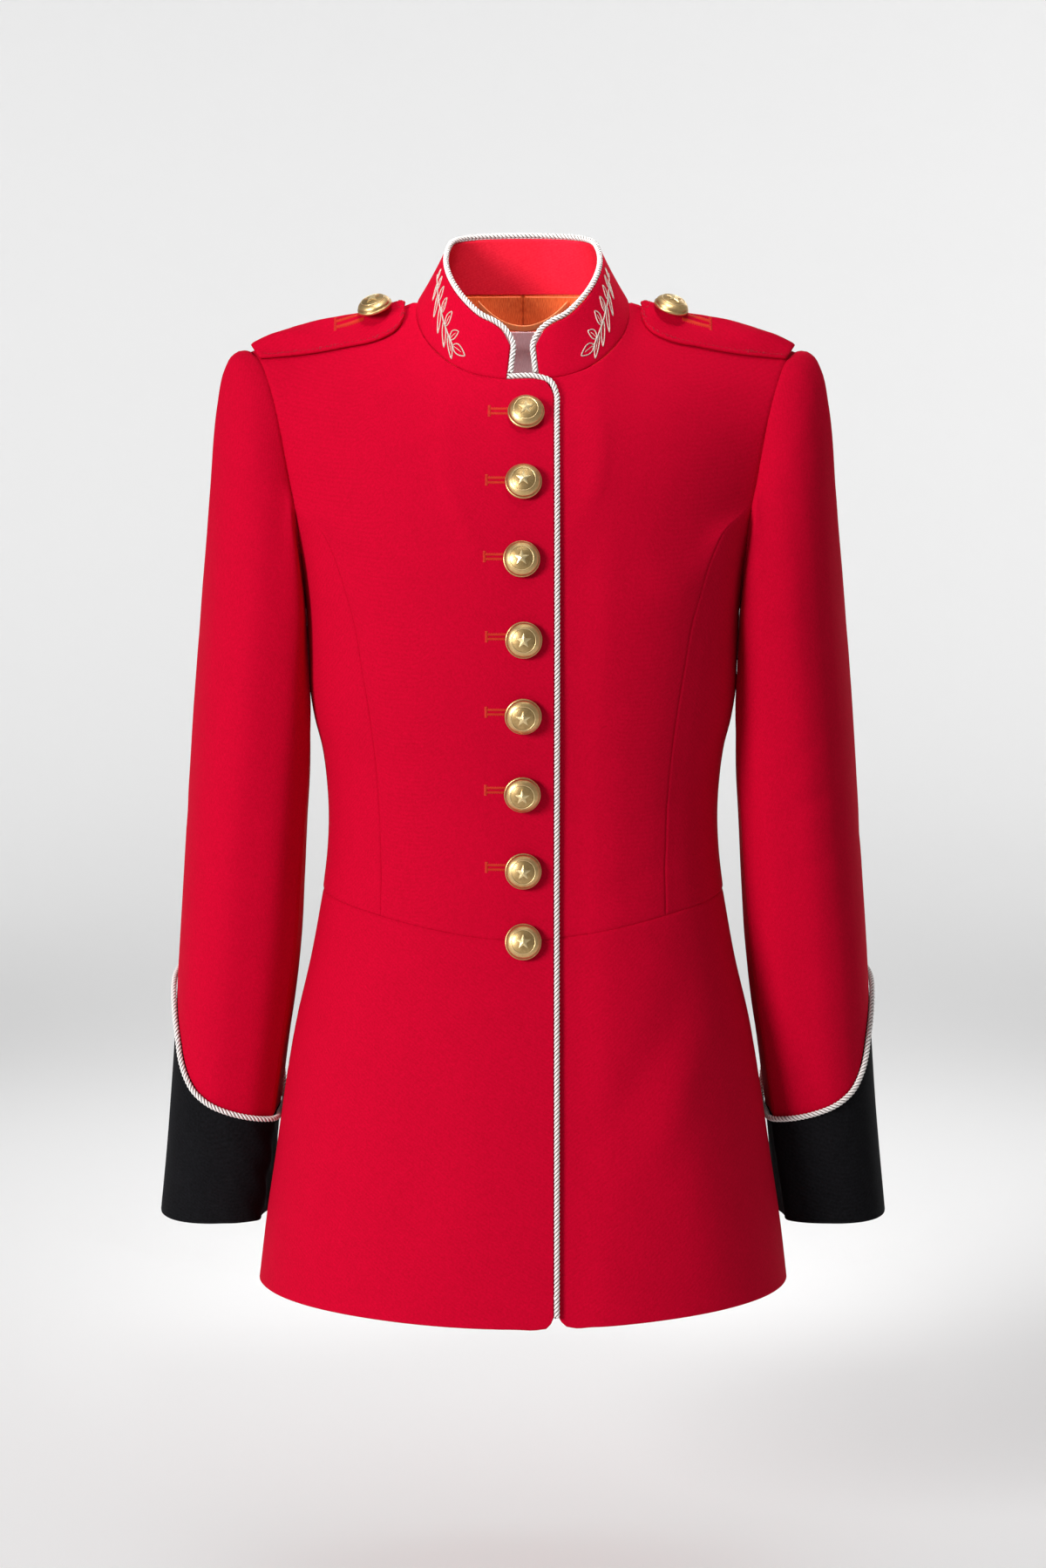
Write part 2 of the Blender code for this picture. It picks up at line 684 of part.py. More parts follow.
def wall_mesh(name, outer, inner, closed):
    """A closed wall between an outer and an inner grid of points."""
    mesh = bmesh.new()
    lines, points = outer.shape[:2]
    skins = [
        [[mesh.verts.new(p) for p in line] for line in grid] for grid in (outer, inner)
    ]
    loops = range(lines if closed else lines - 1)
    for skin in skins:
        for i in loops:
            for j in range(points - 1):
                k = (i + 1) % lines
                mesh.faces.new((skin[i][j], skin[k][j], skin[k][j + 1]))
                mesh.faces.new((skin[i][j], skin[k][j + 1], skin[i][j + 1]))
    out, back = skins
    rim = []
    for i in loops:
        k = (i + 1) % lines
        for j in (0, points - 1):
            rim.append(mesh.faces.new((out[i][j], out[k][j], back[k][j], back[i][j])))
    if not closed:
        for i in (0, lines - 1):
            for j in range(points - 1):
                corners = out[i][j], out[i][j + 1], back[i][j + 1], back[i][j]
                rim.append(mesh.faces.new(corners))
    bmesh.ops.triangulate(mesh, faces=rim, quad_method="SHORT_EDGE")
    bmesh.ops.recalc_face_normals(mesh, faces=mesh.faces)
    data = bpy.data.meshes.new(name)
    mesh.to_mesh(data)
    mesh.free()
    return data


# --------------------------------------------------------------------- scene and colours
COLOURS = {
    "red_cloth": ((0.62, 0.010, 0.022), 0.85, 0.0),
    "black_cloth": ((0.008, 0.008, 0.008), 0.80, 0.0),
    "white_cord": ((0.86, 0.83, 0.80), 0.75, 0.0),
    "orange_satin": ((0.76, 0.11, 0.02), 0.40, 0.0),
    "pale_label": ((0.55, 0.45, 0.48), 0.60, 0.0),
    "gilt_brass": ((0.72, 0.50, 0.20), 0.38, 1.0),
}


def clear_scene():
    for old in list(bpy.data.objects):
        bpy.data.objects.remove(old, do_unlink=True)


def make_materials():
    for name, (colour, rough, metal) in COLOURS.items():
        material = bpy.data.materials.new(name)
        material.use_nodes = True
        shader = material.node_tree.nodes["Principled BSDF"]
        shader.inputs["Base Color"].default_value = (*colour, 1.0)
        shader.inputs["Roughness"].default_value = rough
        shader.inputs["Metallic"].default_value = metal


def add_object(name, data, colour, collection, smooth=True):
    data.materials.append(bpy.data.materials[colour])
    if smooth and isinstance(data, bpy.types.Mesh):
        data.shade_smooth()
        data.set_sharp_from_angle(angle=math.radians(40))
    made = bpy.data.objects.new(name, data)
    collection.objects.link(made)
    return made


def mirrored(grid):
    return np.array(grid) * np.array((-1.0, 1.0, 1.0))


def on_side(grid, side):
    return np.array(grid) if side == LEFT else mirrored(grid)


# ------------------------------------------------------------------------- cut the cloth
def cut_bodice():
    back = settled([back_line(i) for i in range(len(BACK_LINES))], ARMHOLE_BACK, 1)
    under_arm = side_panel()
    panels = {}
    for side, word in ((LEFT, "left"), (RIGHT, "right")):
        front = settled([front_line(i, side) for i in range(len(FRONT_LINES))], ARMHOLE_FRONT, 8)
        front = np.array([[tucked(p, side) for p in line] for line in front])
        panels[word] = {"front": front, "side": under_arm, "back": back}
        add_cloth(f"front_{word}", on_side(front, side), BODY_CLOTH, "last start end", "red_cloth")
        add_cloth(
            f"side_{word}", on_side(under_arm, side), BODY_CLOTH, "first last start end", "red_cloth"
        )
        add_cloth(
            f"back_{word}", on_side(back, side), BODY_CLOTH, "first last start end", "red_cloth"
        )
        add_cloth(
            f"skirt_front_{word}", on_side(skirt_front(side), side), BODY_CLOTH,
            "last start", "red_cloth",
        )
        add_cloth(
            f"skirt_back_{word}", on_side(skirt_back(), side), BODY_CLOTH,
            "first last start", "red_cloth",
        )
    return panels


def armhole_of(panels):
    """The armhole as one ring of the panels' own points, from the shoulder round the front."""
    front = panels["front"][-1][BODICE_ROWS:][::-1]
    bottom = panels["side"][:, -1]
    back = panels["back"][-1][BODICE_ROWS:]
    return np.concatenate((front, bottom[1:], back[1:]))


def cut_sleeves(panels):
    lines = sleeve_lines(armhole_of(panels["right"]))
    cap = len(CAP_STEPS) - 1
    at_cuff = cap + SLEEVE_ROWS
    fore_seam = YOKE_ROWS + 1
    hind_seam = YOKE_ROWS + SIDE_LINES + 3
    ring = lines[:-1]
    for side, word in ((LEFT, "left"), (RIGHT, "right")):
        under = lines[fore_seam : hind_seam + 1, : at_cuff + 1]
        over = np.concatenate((lines[hind_seam:-1], lines[: fore_seam + 1]))[:, : at_cuff + 1]
        for part, grid in (("under", under), ("top", over)):
            add_cloth(
                f"sleeve_{part}_{word}", on_side(grid, side), SLEEVE_CLOTH,
                "first last start end", "red_cloth",
            )
        add_cloth(
            f"cuff_{word}", on_side(ring[:, at_cuff:], side), CUFF_CLOTH, "start",
            "black_cloth", closed=True,
        )
    return lines


def cut_collar(panels):
    """The stand collar, from its right front end round the back to its left one."""
    first = FREE_LINES
    last = first + len(FRONT_NECK_ANGLES) - 1
    angles = list(FRONT_NECK_ANGLES) + list(BACK_NECK_ANGLES[::-1][1:])
    seam = {
        word: [front[i][-1] for i in range(first, last + 1)]
        + [p[-1] for p in panels[word]["back"][: len(BACK_NECK_ANGLES) - 1][::-1]]
        for word, front in ((w, panels[w]["front"]) for w in ("left", "right"))
    }
    run = 0.0
    half = {"left": [], "right": []}
    for n, angle in enumerate(angles):
        if n:
            run += np.linalg.norm(seam["right"][n] - seam["right"][n - 1])
        corner = 0.012
        cut = corner - math.sqrt(max(corner**2 - max(corner - run, 0.0) ** 2, 0.0))
        for side, word in ((LEFT, "left"), (RIGHT, "right")):
            base = seam[word][n]
            top = np.array([neck_size(f"top_{c}", angle) for c in "xyz"])
            top = tucked(top, side)
            height = np.linalg.norm(top - base)
            share = 1 - cut / height
            belly = np.array((0.0, 0.0, -0.0012))
            if n == 0:
                top = top + np.array((-0.0028, 0.0, 0.0))
            line = [
                mix(base, top, share * t) + belly * math.sin(math.pi * t)
                for t in fractions(COLLAR_ROWS)
            ]
            half[word].append(line)
    right = [mirrored(line) for line in half["right"]]
    left = [np.array(line) for line in half["left"]]
    grid = np.array(right + left[:-1][::-1])
    add_cloth("collar", grid, COLLAR_CLOTH, "start", "red_cloth", room=SEAM_GAP * 1.5)


# --------------------------------------------------------------------------- small pieces
def wall_points(name):
    """The outer and inner points that a panel's wall is built from, after its seams."""
    piece = cloth[name]
    outer = piece["grid"].copy()
    inner = outer - piece["through"] * piece["thickness"]
    for side in piece["seams"].split():
        pull_back(outer, side, piece["room"])
        pull_back(inner, side, piece["room"])
    return outer, inner


def add_cord(name, points, collection, resolution=1):
    """A round piping cord along a line of points, with flat ends."""
    curve = bpy.data.curves.new(name, "CURVE")
    curve.dimensions = "3D"
    spline = curve.splines.new("POLY")
    spline.points.add(len(points) - 1)
    for spot, p in zip(spline.points, points):
        spot.co = (*p, 1.0)
    curve.bevel_depth = CORD_RADIUS
    curve.bevel_resolution = resolution
    curve.use_fill_caps = True
    add_object(name, curve, "white_cord", collection)


def beyond_edge(edge, inner_edge, neighbour, reach, depth=0.5):
    """Points just past the rim of a wall: the rim's own points moved out, off the cloth."""
    middle = edge + (inner_edge - edge) * depth
    along = np.gradient(middle, axis=0)
    along /= np.linalg.norm(along, axis=1, keepdims=True)
    out = edge - neighbour
    out -= (out * along).sum(axis=1, keepdims=True) * along
    out /= np.linalg.norm(out, axis=1, keepdims=True)
    return middle + out * reach


def spread(points, spacing):
    """The same line with points at even steps, through a smooth curve."""
    points = np.array(points)
    steps = np.concatenate(([0], np.cumsum(np.linalg.norm(np.diff(points, axis=0), axis=1))))
    count = max(2, round(steps[-1] / spacing))
    at = np.linspace(0, steps[-1], count + 1)
    columns = [
        smooth_table([(s, v) for s, v in zip(steps, points[:, c])], ("at", "v"))
        for c in range(3)
    ]
    return np.array([[column("v", a) for column in columns] for a in at])


def front_cord(word, side, depth, collection):
    """Piping down one front: along the free neckline, round the corner and to the hem."""
    reach = CORD_RADIUS + SEAM_GAP
    outer, inner = wall_points(f"front_{word}")
    neck = beyond_edge(
        outer[FREE_LINES::-1, -1], inner[FREE_LINES::-1, -1], outer[FREE_LINES::-1, -2],
        reach, depth,
    )
    down = beyond_edge(outer[0, ::-1], inner[0, ::-1], outer[1, ::-1], reach, depth)
    skirt_out, skirt_in = wall_points(f"skirt_front_{word}")
    low = beyond_edge(skirt_out[0], skirt_in[0], skirt_out[1], reach, depth)
    neck[0, 0] -= side * CORD_CLEAR
    neck_corner = mix(neck[-1], down[0], 0.5)
    waist = mix(down[-1], low[0], 0.5)
    line = np.concatenate((neck[:-1], [neck_corner], down[1:-1], [waist], low[1:]))
    add_cord(f"front_cord_{word}", line, collection)


def collar_cord(collection):
    outer, inner = wall_points("collar")
    reach = CORD_RADIUS + SEAM_GAP
    up = beyond_edge(outer[0], inner[0], outer[1], reach)
    round_top = beyond_edge(outer[:, -1], inner[:, -1], outer[:, -2], reach)
    down = beyond_edge(outer[-1, ::-1], inner[-1, ::-1], outer[-2, ::-1], reach)
    for foot, above in ((up[0:1], up[1]), (down[-1:], down[-2])):
        foot += unit(above - foot[0]) * (2 * reach + SEAM_GAP)
    corners = [mix(up[-1], round_top[0], 0.5)], [mix(round_top[-1], down[0], 0.5)]
    line = np.concatenate((up[:-1], corners[0], round_top[1:-1], corners[1], down[1:]))
    add_cord("collar_cord", line, collection)


def cuff_cord(word, collection):
    """Piping that lies on the seam between the sleeve and the cuff, and meets itself."""
    grid = cloth[f"cuff_{word}"]["grid"][:, 0]
    out = cloth[f"cuff_{word}"]["through"][:, 0]
    out = out / np.linalg.norm(out, axis=1, keepdims=True)
    line = grid + out * (CORD_RADIUS + SEAM_GAP * 1.5)
    start = len(line) // 2 + 2
    line = np.concatenate((line[start:], line[:start]))
    closed = np.concatenate((line, line[:1] + (line[-1:] - line[:1]) * 0.02))
    add_cord(f"cuff_cord_{word}", spread(closed, 0.009)[:-1], collection)


def face_at(normal, spot):
    """A rotation and place that stand a piece on the cloth at a spot."""
    turn = Vector(normal).to_track_quat("Z", "Y").to_matrix().to_4x4()
    turn.translation = Vector(spot)
    return turn


def button_mesh():
    """A domed shank button, turned about Z with its shank's foot at the origin."""
    under = SHANK_LENGTH
    rim = under + BUTTON_RIM
    profile = [(0.0, rim + BUTTON_RISE)]
    for step in range(1, 5):
        turn = math.radians(step * 22.5)
        profile.append((BUTTON_RADIUS * math.sin(turn), rim + BUTTON_RISE * math.cos(turn)))
    profile += [
        (BUTTON_RADIUS * 0.97, under),
        (SHANK_RADIUS, under),
        (SHANK_RADIUS, 0.0),
        (0.0, 0.0),
    ]
    mesh = bmesh.new()
    spots = [mesh.verts.new((x, 0.0, z)) for x, z in profile]
    for a, b in zip(spots, spots[1:]):
        mesh.edges.new((a, b))
    data = bpy.data.meshes.new("button_profile")
    mesh.to_mesh(data)
    mesh.free()
    return data


def add_button(name, normal, spot, collection):
    made = add_object(name, button_mesh(), "gilt_brass", collection, smooth=False)
    screw = made.modifiers.new("turned", "SCREW")
    screw.steps = screw.render_steps = 14
    screw.use_merge_vertices = True
    screw.merge_threshold = 0.0001
    screw.use_smooth_shade = True
    made.matrix_world = face_at(normal, spot)


def front_buttons(collection):
    front = skin_tree(cloth["front_right"]["grid"], cloth["skirt_front_right"]["grid"])
    for number, (x, z) in enumerate(BUTTONS, 1):
        hit, normal, _, _ = front.ray_cast(Vector((x, -0.3, z)), Vector((0.0, 1.0, 0.0)))
        normal = np.array(normal) * (-1.0 if normal.y > 0 else 1.0)
        add_button(f"button_{number}", normal, np.array(hit) + normal * SEAM_GAP, collection)


def skin_tree(*grids):
    """The faces of some grids, to cast rays on or to test against each other."""
    points, faces = [], []
    for grid in grids:
        rows = grid.shape[1]
        first = len(points)
        points += [tuple(p) for p in grid.reshape(-1, 3)]
        for i in range(grid.shape[0] - 1):
            for j in range(rows - 1):
                a = first + i * rows + j
                faces += [(a, a + rows, a + rows + 1), (a, a + rows + 1, a + 1)]
    return BVHTree.FromPolygons(points, faces)


def strap_end(armhole, y):
    """Where the armhole seam crosses the shoulder at depth y."""
    ring = sorted((p[1], p[0]) for p in armhole if p[2] > -0.075)
    return float(np.interp(y, *zip(*ring))) - 0.0008


def cut_straps(panels, collection):
    """Shoulder straps: stiff doubled cloth that lies on the shoulder from the armhole seam
    to a rounded end beside the collar."""
    armhole = armhole_of(panels["right"])
    shoulder = skin_tree(cloth["front_left"]["grid"], cloth["back_left"]["grid"])
    low = []
    for along in STRAP_STEPS:
        half = strap_size("half_width", along)
        line = []
        for share in STRAP_ACROSS:
            y = mix(*STRAP_CENTRE, along) + half * share
            x = mix(STRAP_TIP, strap_end(armhole, y), along)
            hit = None
            while hit is None:
                hit = shoulder.ray_cast(Vector((x, y, 0.1)), Vector((0.0, 0.0, -1.0)))[0]
                x -= 0.0004
            line.append(np.array(hit))
        low.append(line)
    low = np.array(low)
    normals = grid_normals(low, False)
    if normals[..., 2].sum() < 0:
        normals = -normals
    touching = skin_tree(low).overlap(shoulder)
    while touching:
        for square in {face // 2 for face, _ in touching}:
            i, j = divmod(square, len(STRAP_ACROSS) - 1)
            low[i : i + 2, j : j + 2] += normals[i : i + 2, j : j + 2] * STRAP_LIFT
        touching = skin_tree(low).overlap(shoulder)
    low = low + normals * SEAM_GAP
    high = low + normals * STRAP_CLOTH
    for side, word in ((LEFT, "left"), (RIGHT, "right")):
        data = wall_mesh(f"strap_{word}", on_side(high, side), on_side(low, side), False)
        add_object(f"strap_{word}", data, "red_cloth", collection)
        at = 3
        middle = mix(high[at, 3], high[at + 1, 3], 0.35)
        normal = unit(normals[at, 3] + normals[at + 1, 3])
        spot = on_side(middle + normal * SEAM_GAP * 1.5, side)
        add_button(f"strap_button_{word}", on_side(normal, side), spot, collection)


def cut_lining(collection):
    """What shows inside the neck: two halves of satin lining, a bare label and a hanger loop."""
    rows = slice(BODICE_ROWS + 1, BODICE_ROWS + YOKE_ROWS + 1)
    count = len(BACK_NECK_ANGLES) + 1
    reach = {}
    for side, word in ((LEFT, "left"), (RIGHT, "right")):
        piece = cloth[f"back_{word}"]
        outer = piece["grid"][:count, rows]
        through = piece["through"][:count, rows]
        near = outer - through * (BODY_CLOTH + 0.0006)
        far = outer - through * (BODY_CLOTH + 0.0006 + LINING_CLOTH)
        for grid in (near, far):
            pull_back(grid, "first", SEAM_GAP / 2)
            pull_back(grid, "end", 0.0012)
            pull_back(grid, "last", 0.0012)
        data = wall_mesh(f"lining_{word}", near, far, False)
        add_object(f"lining_{word}", data, "orange_satin", collection)
        reach[word] = far
    return reach


def inside_back_y(reach, x, z):
    """Depth of the lining's inner face at x and z."""
    face = reach["left"]
    rows = []
    for j in range(face.shape[1]):
        row = smooth_table([(p[0], p[1], p[2]) for p in face[:, j]], ("x", "y", "z"))
        rows.append((row("z", abs(x)), row("y", abs(x))))
    return smooth_table(rows, ("z", "y"))("y", z)


def add_label_and_loop(reach, collection):
    near, far = [], []
    for x in np.linspace(-LABEL_HALF_WIDTH, LABEL_HALF_WIDTH, 5):
        line = [
            np.array((x, inside_back_y(reach, x, z) - 0.0006, z))
            for z in np.linspace(LABEL_BOTTOM, LABEL_TOP, 4)
        ]
        near.append(line)
        far.append([p - np.array((0.0, LABEL_THICKNESS, 0.0)) for p in line])
    data = wall_mesh("label", np.array(near), np.array(far), False)
    add_object("label", data, "pale_label", collection)
    front, back = [], []
    for t in np.linspace(-1, 1, 13):
        x = LOOP_HALF_SPAN * t
        z = -0.0045 - LOOP_SAG * (1 - t * t)
        stand = 0.0022 + 0.0073 * (1 - t**4)
        y = inside_back_y(reach, x, z) - stand
        tall = np.array((0.0, -0.45 * LOOP_WIDTH / 2, 0.9 * LOOP_WIDTH / 2))
        middle = np.array((x, y, z))
        front.append([middle - tall, middle + tall])
        deep = np.array((0.0, 0.9 * LOOP_THICKNESS, 0.45 * LOOP_THICKNESS))
        back.append([middle - tall + deep, middle + tall + deep])
    data = wall_mesh("hanger_loop", np.array(back), np.array(front), False)
    add_object("hanger_loop", data, "orange_satin", collection)


# -------------------------------------------------------------------------------- build
def main():
    clear_scene()
    make_materials()
    jacket = bpy.data.collections.new("military_jacket")
    bpy.context.scene.collection.children.link(jacket)

    panels = cut_bodice()
    cut_sleeves(panels)
    cut_collar(panels)
    for name, piece in cloth.items():
        piece["inside"] = inside_body
        if name.startswith(("sleeve", "cuff")):
            piece["inside"] = inside_sleeve(LEFT if name.endswith("left") else RIGHT)
    through = shared_normals(cloth)
    for name, piece in cloth.items():
        piece["through"] = through[name]
    for name, piece in cloth.items():
        outer, inner = wall_points(name)
        add_object(name, wall_mesh(name, outer, inner, piece["closed"]), piece["colour"], jacket)

    front_cord("right", RIGHT, 0.30, jacket)
    front_cord("left", LEFT, 0.60, jacket)
    collar_cord(jacket)
    for word in ("left", "right"):
        cuff_cord(word, jacket)
    front_buttons(jacket)
    cut_straps(panels, jacket)
    add_label_and_loop(cut_lining(jacket), jacket)


main()
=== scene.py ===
import math

import bmesh
import bpy
import numpy as np
from mathutils import Matrix, Vector, noise
from mathutils.bvhtree import BVHTree
from mathutils.kdtree import KDTree


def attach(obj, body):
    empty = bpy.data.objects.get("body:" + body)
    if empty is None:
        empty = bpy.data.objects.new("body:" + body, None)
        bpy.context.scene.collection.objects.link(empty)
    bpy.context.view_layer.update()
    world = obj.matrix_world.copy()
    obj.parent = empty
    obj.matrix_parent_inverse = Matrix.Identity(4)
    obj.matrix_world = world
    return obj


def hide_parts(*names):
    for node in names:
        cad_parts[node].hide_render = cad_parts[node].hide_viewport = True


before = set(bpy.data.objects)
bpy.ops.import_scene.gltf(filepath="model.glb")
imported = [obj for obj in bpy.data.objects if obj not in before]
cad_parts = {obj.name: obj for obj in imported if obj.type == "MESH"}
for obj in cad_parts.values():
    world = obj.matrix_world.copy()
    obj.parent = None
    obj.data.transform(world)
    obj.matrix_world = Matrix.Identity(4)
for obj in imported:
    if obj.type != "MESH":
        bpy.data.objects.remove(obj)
bpy.context.view_layer.update()

# ---------------------------------------------------------------------------- the studio
# A plain pale floor that sweeps up far from the jacket on every side. A large lamp on the
# viewer's left gives the cloth its form and a wide one overhead softens it, and small ones
# light the neck, the back and the backdrop. The camera stands at the photograph's angle.
FLOOR_Z, FLOOR_RADIUS, FLOOR_SIDES = -0.90, 4.0, 128
SWEEP_RADIUS, SWEEP_STEPS, BACKDROP_WALL = 1.6, 9, 1.2
CAMERA_AWAY, CAMERA_AIM = 2.7, -0.333  # how far off, and the height that it is aimed at
CAMERA_TILT, CAMERA_LENS, CAMERA_SENSOR = 6.4, 90, 36  # degrees down, then millimetres
STUDIO_WHITE, SKY_STRENGTH = "#F2F2F2", 0.30


def colour(text):
    """An sRGB hex colour as the linear one that Blender works in."""
    parts = [int(text[n : n + 2], 16) / 255 for n in (1, 3, 5)]
    return (*(c / 12.92 if c <= 0.04045 else ((c + 0.055) / 1.055) ** 2.4 for c in parts), 1.0)


def new_material(name, **finish):
    """A material whose Principled shader has these values, named as its sockets are."""
    material = bpy.data.materials.new(name)
    material.use_nodes = True
    shader = material.node_tree.nodes["Principled BSDF"]
    for key, value in finish.items():
        shader.inputs[key.replace("_", " ").title().replace("Ior", "IOR")].default_value = value
    return material, shader


bpy.ops.object.select_all(action="DESELECT")
bpy.ops.mesh.primitive_circle_add(vertices=FLOOR_SIDES, radius=FLOOR_RADIUS, location=(0, 0, FLOOR_Z))
floor = bpy.context.active_object
floor.name = "floor"
bpy.ops.object.mode_set(mode="EDIT")
bpy.ops.mesh.select_all(action="SELECT")
for step in range(SWEEP_STEPS):
    low, high = (math.radians(90 * n / SWEEP_STEPS) for n in (step, step + 1))
    rise = SWEEP_RADIUS * (math.cos(low) - math.cos(high))
    reach = [FLOOR_RADIUS + SWEEP_RADIUS * math.sin(angle) for angle in (low, high)]
    grown = reach[1] / reach[0]
    bpy.ops.mesh.extrude_edges_move(TRANSFORM_OT_translate={"value": (0, 0, rise)})
    bpy.ops.transform.resize(value=(grown, grown, 1), center_override=(0, 0, 0))
bpy.ops.mesh.extrude_edges_move(TRANSFORM_OT_translate={"value": (0, 0, BACKDROP_WALL)})
bpy.ops.mesh.select_all(action="DESELECT")
bpy.ops.object.mode_set(mode="OBJECT")
for edge in floor.data.edges:
    ends = [floor.data.vertices[v].co for v in edge.vertices]
    edge.select = all(end.z < 1e-5 and end.xy.length < FLOOR_RADIUS + 1e-3 for end in ends)
bpy.ops.object.mode_set(mode="EDIT")
bpy.ops.mesh.select_mode(type="EDGE")
bpy.ops.mesh.edge_face_add()
bpy.ops.object.mode_set(mode="OBJECT")
floor.data.shade_smooth()
# Uncoated paper on a roll: the eye finds no gloss and no edge on it.
paper, shader = new_material("matt backdrop paper", roughness=0.95, base_color=colour(STUDIO_WHITE))
floor.data.materials.append(paper)

LIGHTS = (  # name, place, aim, size, watts, spread in degrees
    ("key", (-2.65, -2.8, 0.6), (0, 0, -0.55), 1.3, 29.5, 80),
    ("top", (0.3, -0.4, 2.7), (0.3, -0.4, -1), 3.0, 15, 160),
    ("neck", (0, -0.6, 0.8), (0, 0.05, 0.03), 0.25, 0.24, 24),
    ("floor", (0, 1.5, 0.6), (0, 1.4, -1), 1.6, 6, 120),
    ("rim", (1.2, 2.4, 1.4), (0, 0, -0.3), 1.6, 4, 90),
    ("backdrop left", (-2.0, 2.6, 1.3), (-0.6, 5.6, -0.2), 1.6, 22, 130),
    ("backdrop right", (2.0, 2.6, 1.3), (0.6, 5.6, -0.2), 1.6, 20, 130),
)
for name, place, aim, size, watts, spread in LIGHTS:
    lamp = bpy.data.lights.new(name, "AREA")
    lamp.shape, lamp.size, lamp.energy, lamp.spread = "DISK", size, watts, math.radians(spread)
    light = bpy.data.objects.new(name, lamp)
    light.location = place
    light.rotation_euler = (Vector(aim) - light.location).to_track_quat("-Z", "Y").to_euler()
    bpy.context.scene.collection.objects.link(light)
world = bpy.data.worlds.new("studio")
world.use_nodes = True
world.node_tree.nodes["Background"].inputs["Color"].default_value = colour(STUDIO_WHITE)
world.node_tree.nodes["Background"].inputs["Strength"].default_value = SKY_STRENGTH
bpy.context.scene.world = world
bpy.context.scene.view_settings.view_transform = "Standard"

tilt = math.radians(CAMERA_TILT)
bpy.ops.object.camera_add(
    location=(0, -CAMERA_AWAY * math.cos(tilt), CAMERA_AIM + CAMERA_AWAY * math.sin(tilt)),
    rotation=(math.pi / 2 - tilt, 0, 0),
)
camera = bpy.context.active_object
camera.data.lens, camera.data.sensor_width = CAMERA_LENS, CAMERA_SENSOR
camera.data.clip_start = 0.05
bpy.context.scene.camera = camera

# ----------------------------------------------------------------- the red cloth and lining
# A smooth, slightly felted wool twill in a deep scarlet. Its short nap scatters light at the
# edges of a form, so it has a soft sheen and no gloss. The body is lined with orange satin,
# and faced with the wool itself along the front edge and the hems.
TWILL_SPACING = 0.0024  # the real lines are 0.6 mm apart, too fine to show, so they are drawn at 2.4
TWILL_ANGLE = 58  # degrees
NAP_SIZE = 0.0015  # the real nap is finer than 0.5 mm, and is drawn as coarse as it needs to show
CLOUD_SIZE = 1 / 55  # soft patches where the nap lies another way
WAVE_SCALE = math.tau / 20  # a wave texture's own scale for bands that are 1 m apart


def add_node(material, kind, inputs=(), stops=(), **settings):
    """Adds a shader node. An input is a value, or the node or socket that is linked to it.
    The stops of a colour ramp are places and colours: its two ends, then those in between."""
    tree = material.node_tree
    made = tree.nodes.new("ShaderNode" + kind)
    for name, value in settings.items():
        setattr(made, name, value)
    for number, (place, value) in enumerate(stops):
        marks = made.color_ramp.elements
        mark = marks[number] if number < 2 else marks.new(place)
        mark.position, mark.color = place, value
    for name, value in dict(inputs).items():
        socket = made.inputs[name]
        if isinstance(value, bpy.types.Node):
            value = value.outputs[0]
        if isinstance(value, bpy.types.NodeSocket):
            tree.links.new(socket, value)
        else:
            socket.default_value = value
    return made


def link(source, shader, socket):
    source = source.outputs[0] if isinstance(source, bpy.types.Node) else source
    shader.id_data.links.new(shader.inputs[socket], source)


def cover(material, shader, tint, height, strength, depth):
    """Gives a finish its colour and its fine relief."""
    link(tint, shader, "Base Color")
    relief = add_node(material, "Bump", {"Height": height, "Strength": strength, "Distance": depth})
    link(relief, shader, "Normal")


def wool(name, deep, light, sheen, sheen_tint):
    """Milled wool twill: slanting lines half hidden by a matt nap, with a soft light at its edges."""
    material, shader = new_material(
        name, roughness=0.88, specular_ior_level=0.06, sheen_weight=sheen,
        sheen_roughness=0.42, sheen_tint=colour(sheen_tint),
    )
    cut = add_node(material, "UVMap", uv_map="cut")
    place = add_node(material, "TexCoord")
    diagonal = add_node(material, "Mapping", {"Vector": cut, "Rotation": (0, 0, math.radians(TWILL_ANGLE))})
    uneven = {"Distortion": 3.0, "Detail": 3.0, "Detail Scale": 2.5}
    bands = {"Vector": diagonal, "Scale": WAVE_SCALE / TWILL_SPACING}
    twill = add_node(material, "TexWave", {**bands, **uneven})
    at = {"Vector": place.outputs["Object"]}
    nap = add_node(material, "TexNoise", {**at, "Scale": 1 / NAP_SIZE, "Detail": 4.0, "Roughness": 0.6})
    cloud = add_node(material, "TexNoise", {**at, "Scale": 1 / CLOUD_SIZE, "Detail": 3.0})
    grain = add_node(material, "Mix", {0: 0.10, 2: nap.outputs[0], 3: twill.outputs[1]}, data_type="FLOAT")
    tone = add_node(material, "Mix", {0: 0.12, 2: grain, 3: cloud.outputs[0]}, data_type="FLOAT")
    ramp = add_node(material, "ValToRGB", {0: tone}, ((0.30, colour(deep)), (0.72, colour(light))))
    cover(material, shader, ramp, grain, 0.30, 0.0005)
    return material


def satin(name, deep, light, rough, thread):
    """Woven satin: long floats of `thread` size that run one way, so that it shines in soft bands."""
    material, shader = new_material(
        name, roughness=rough, specular_ior_level=0.5, anisotropic=0.4,
        sheen_weight=0.25, sheen_roughness=0.35, sheen_tint=colour(light),
    )
    cut = add_node(material, "UVMap", uv_map="cut")
    along = add_node(material, "Mapping", {"Vector": cut, "Scale": (1 / thread, 0.12 / thread, 1)})
    threads = add_node(material, "TexNoise", {"Vector": along, "Scale": 1.0, "Detail": 2.0})
    ramp = add_node(material, "ValToRGB", {0: threads}, ((0.32, colour(deep)), (0.68, colour(light))))
    cover(material, shader, ramp, threads, 0.25, 0.0002)
    return material


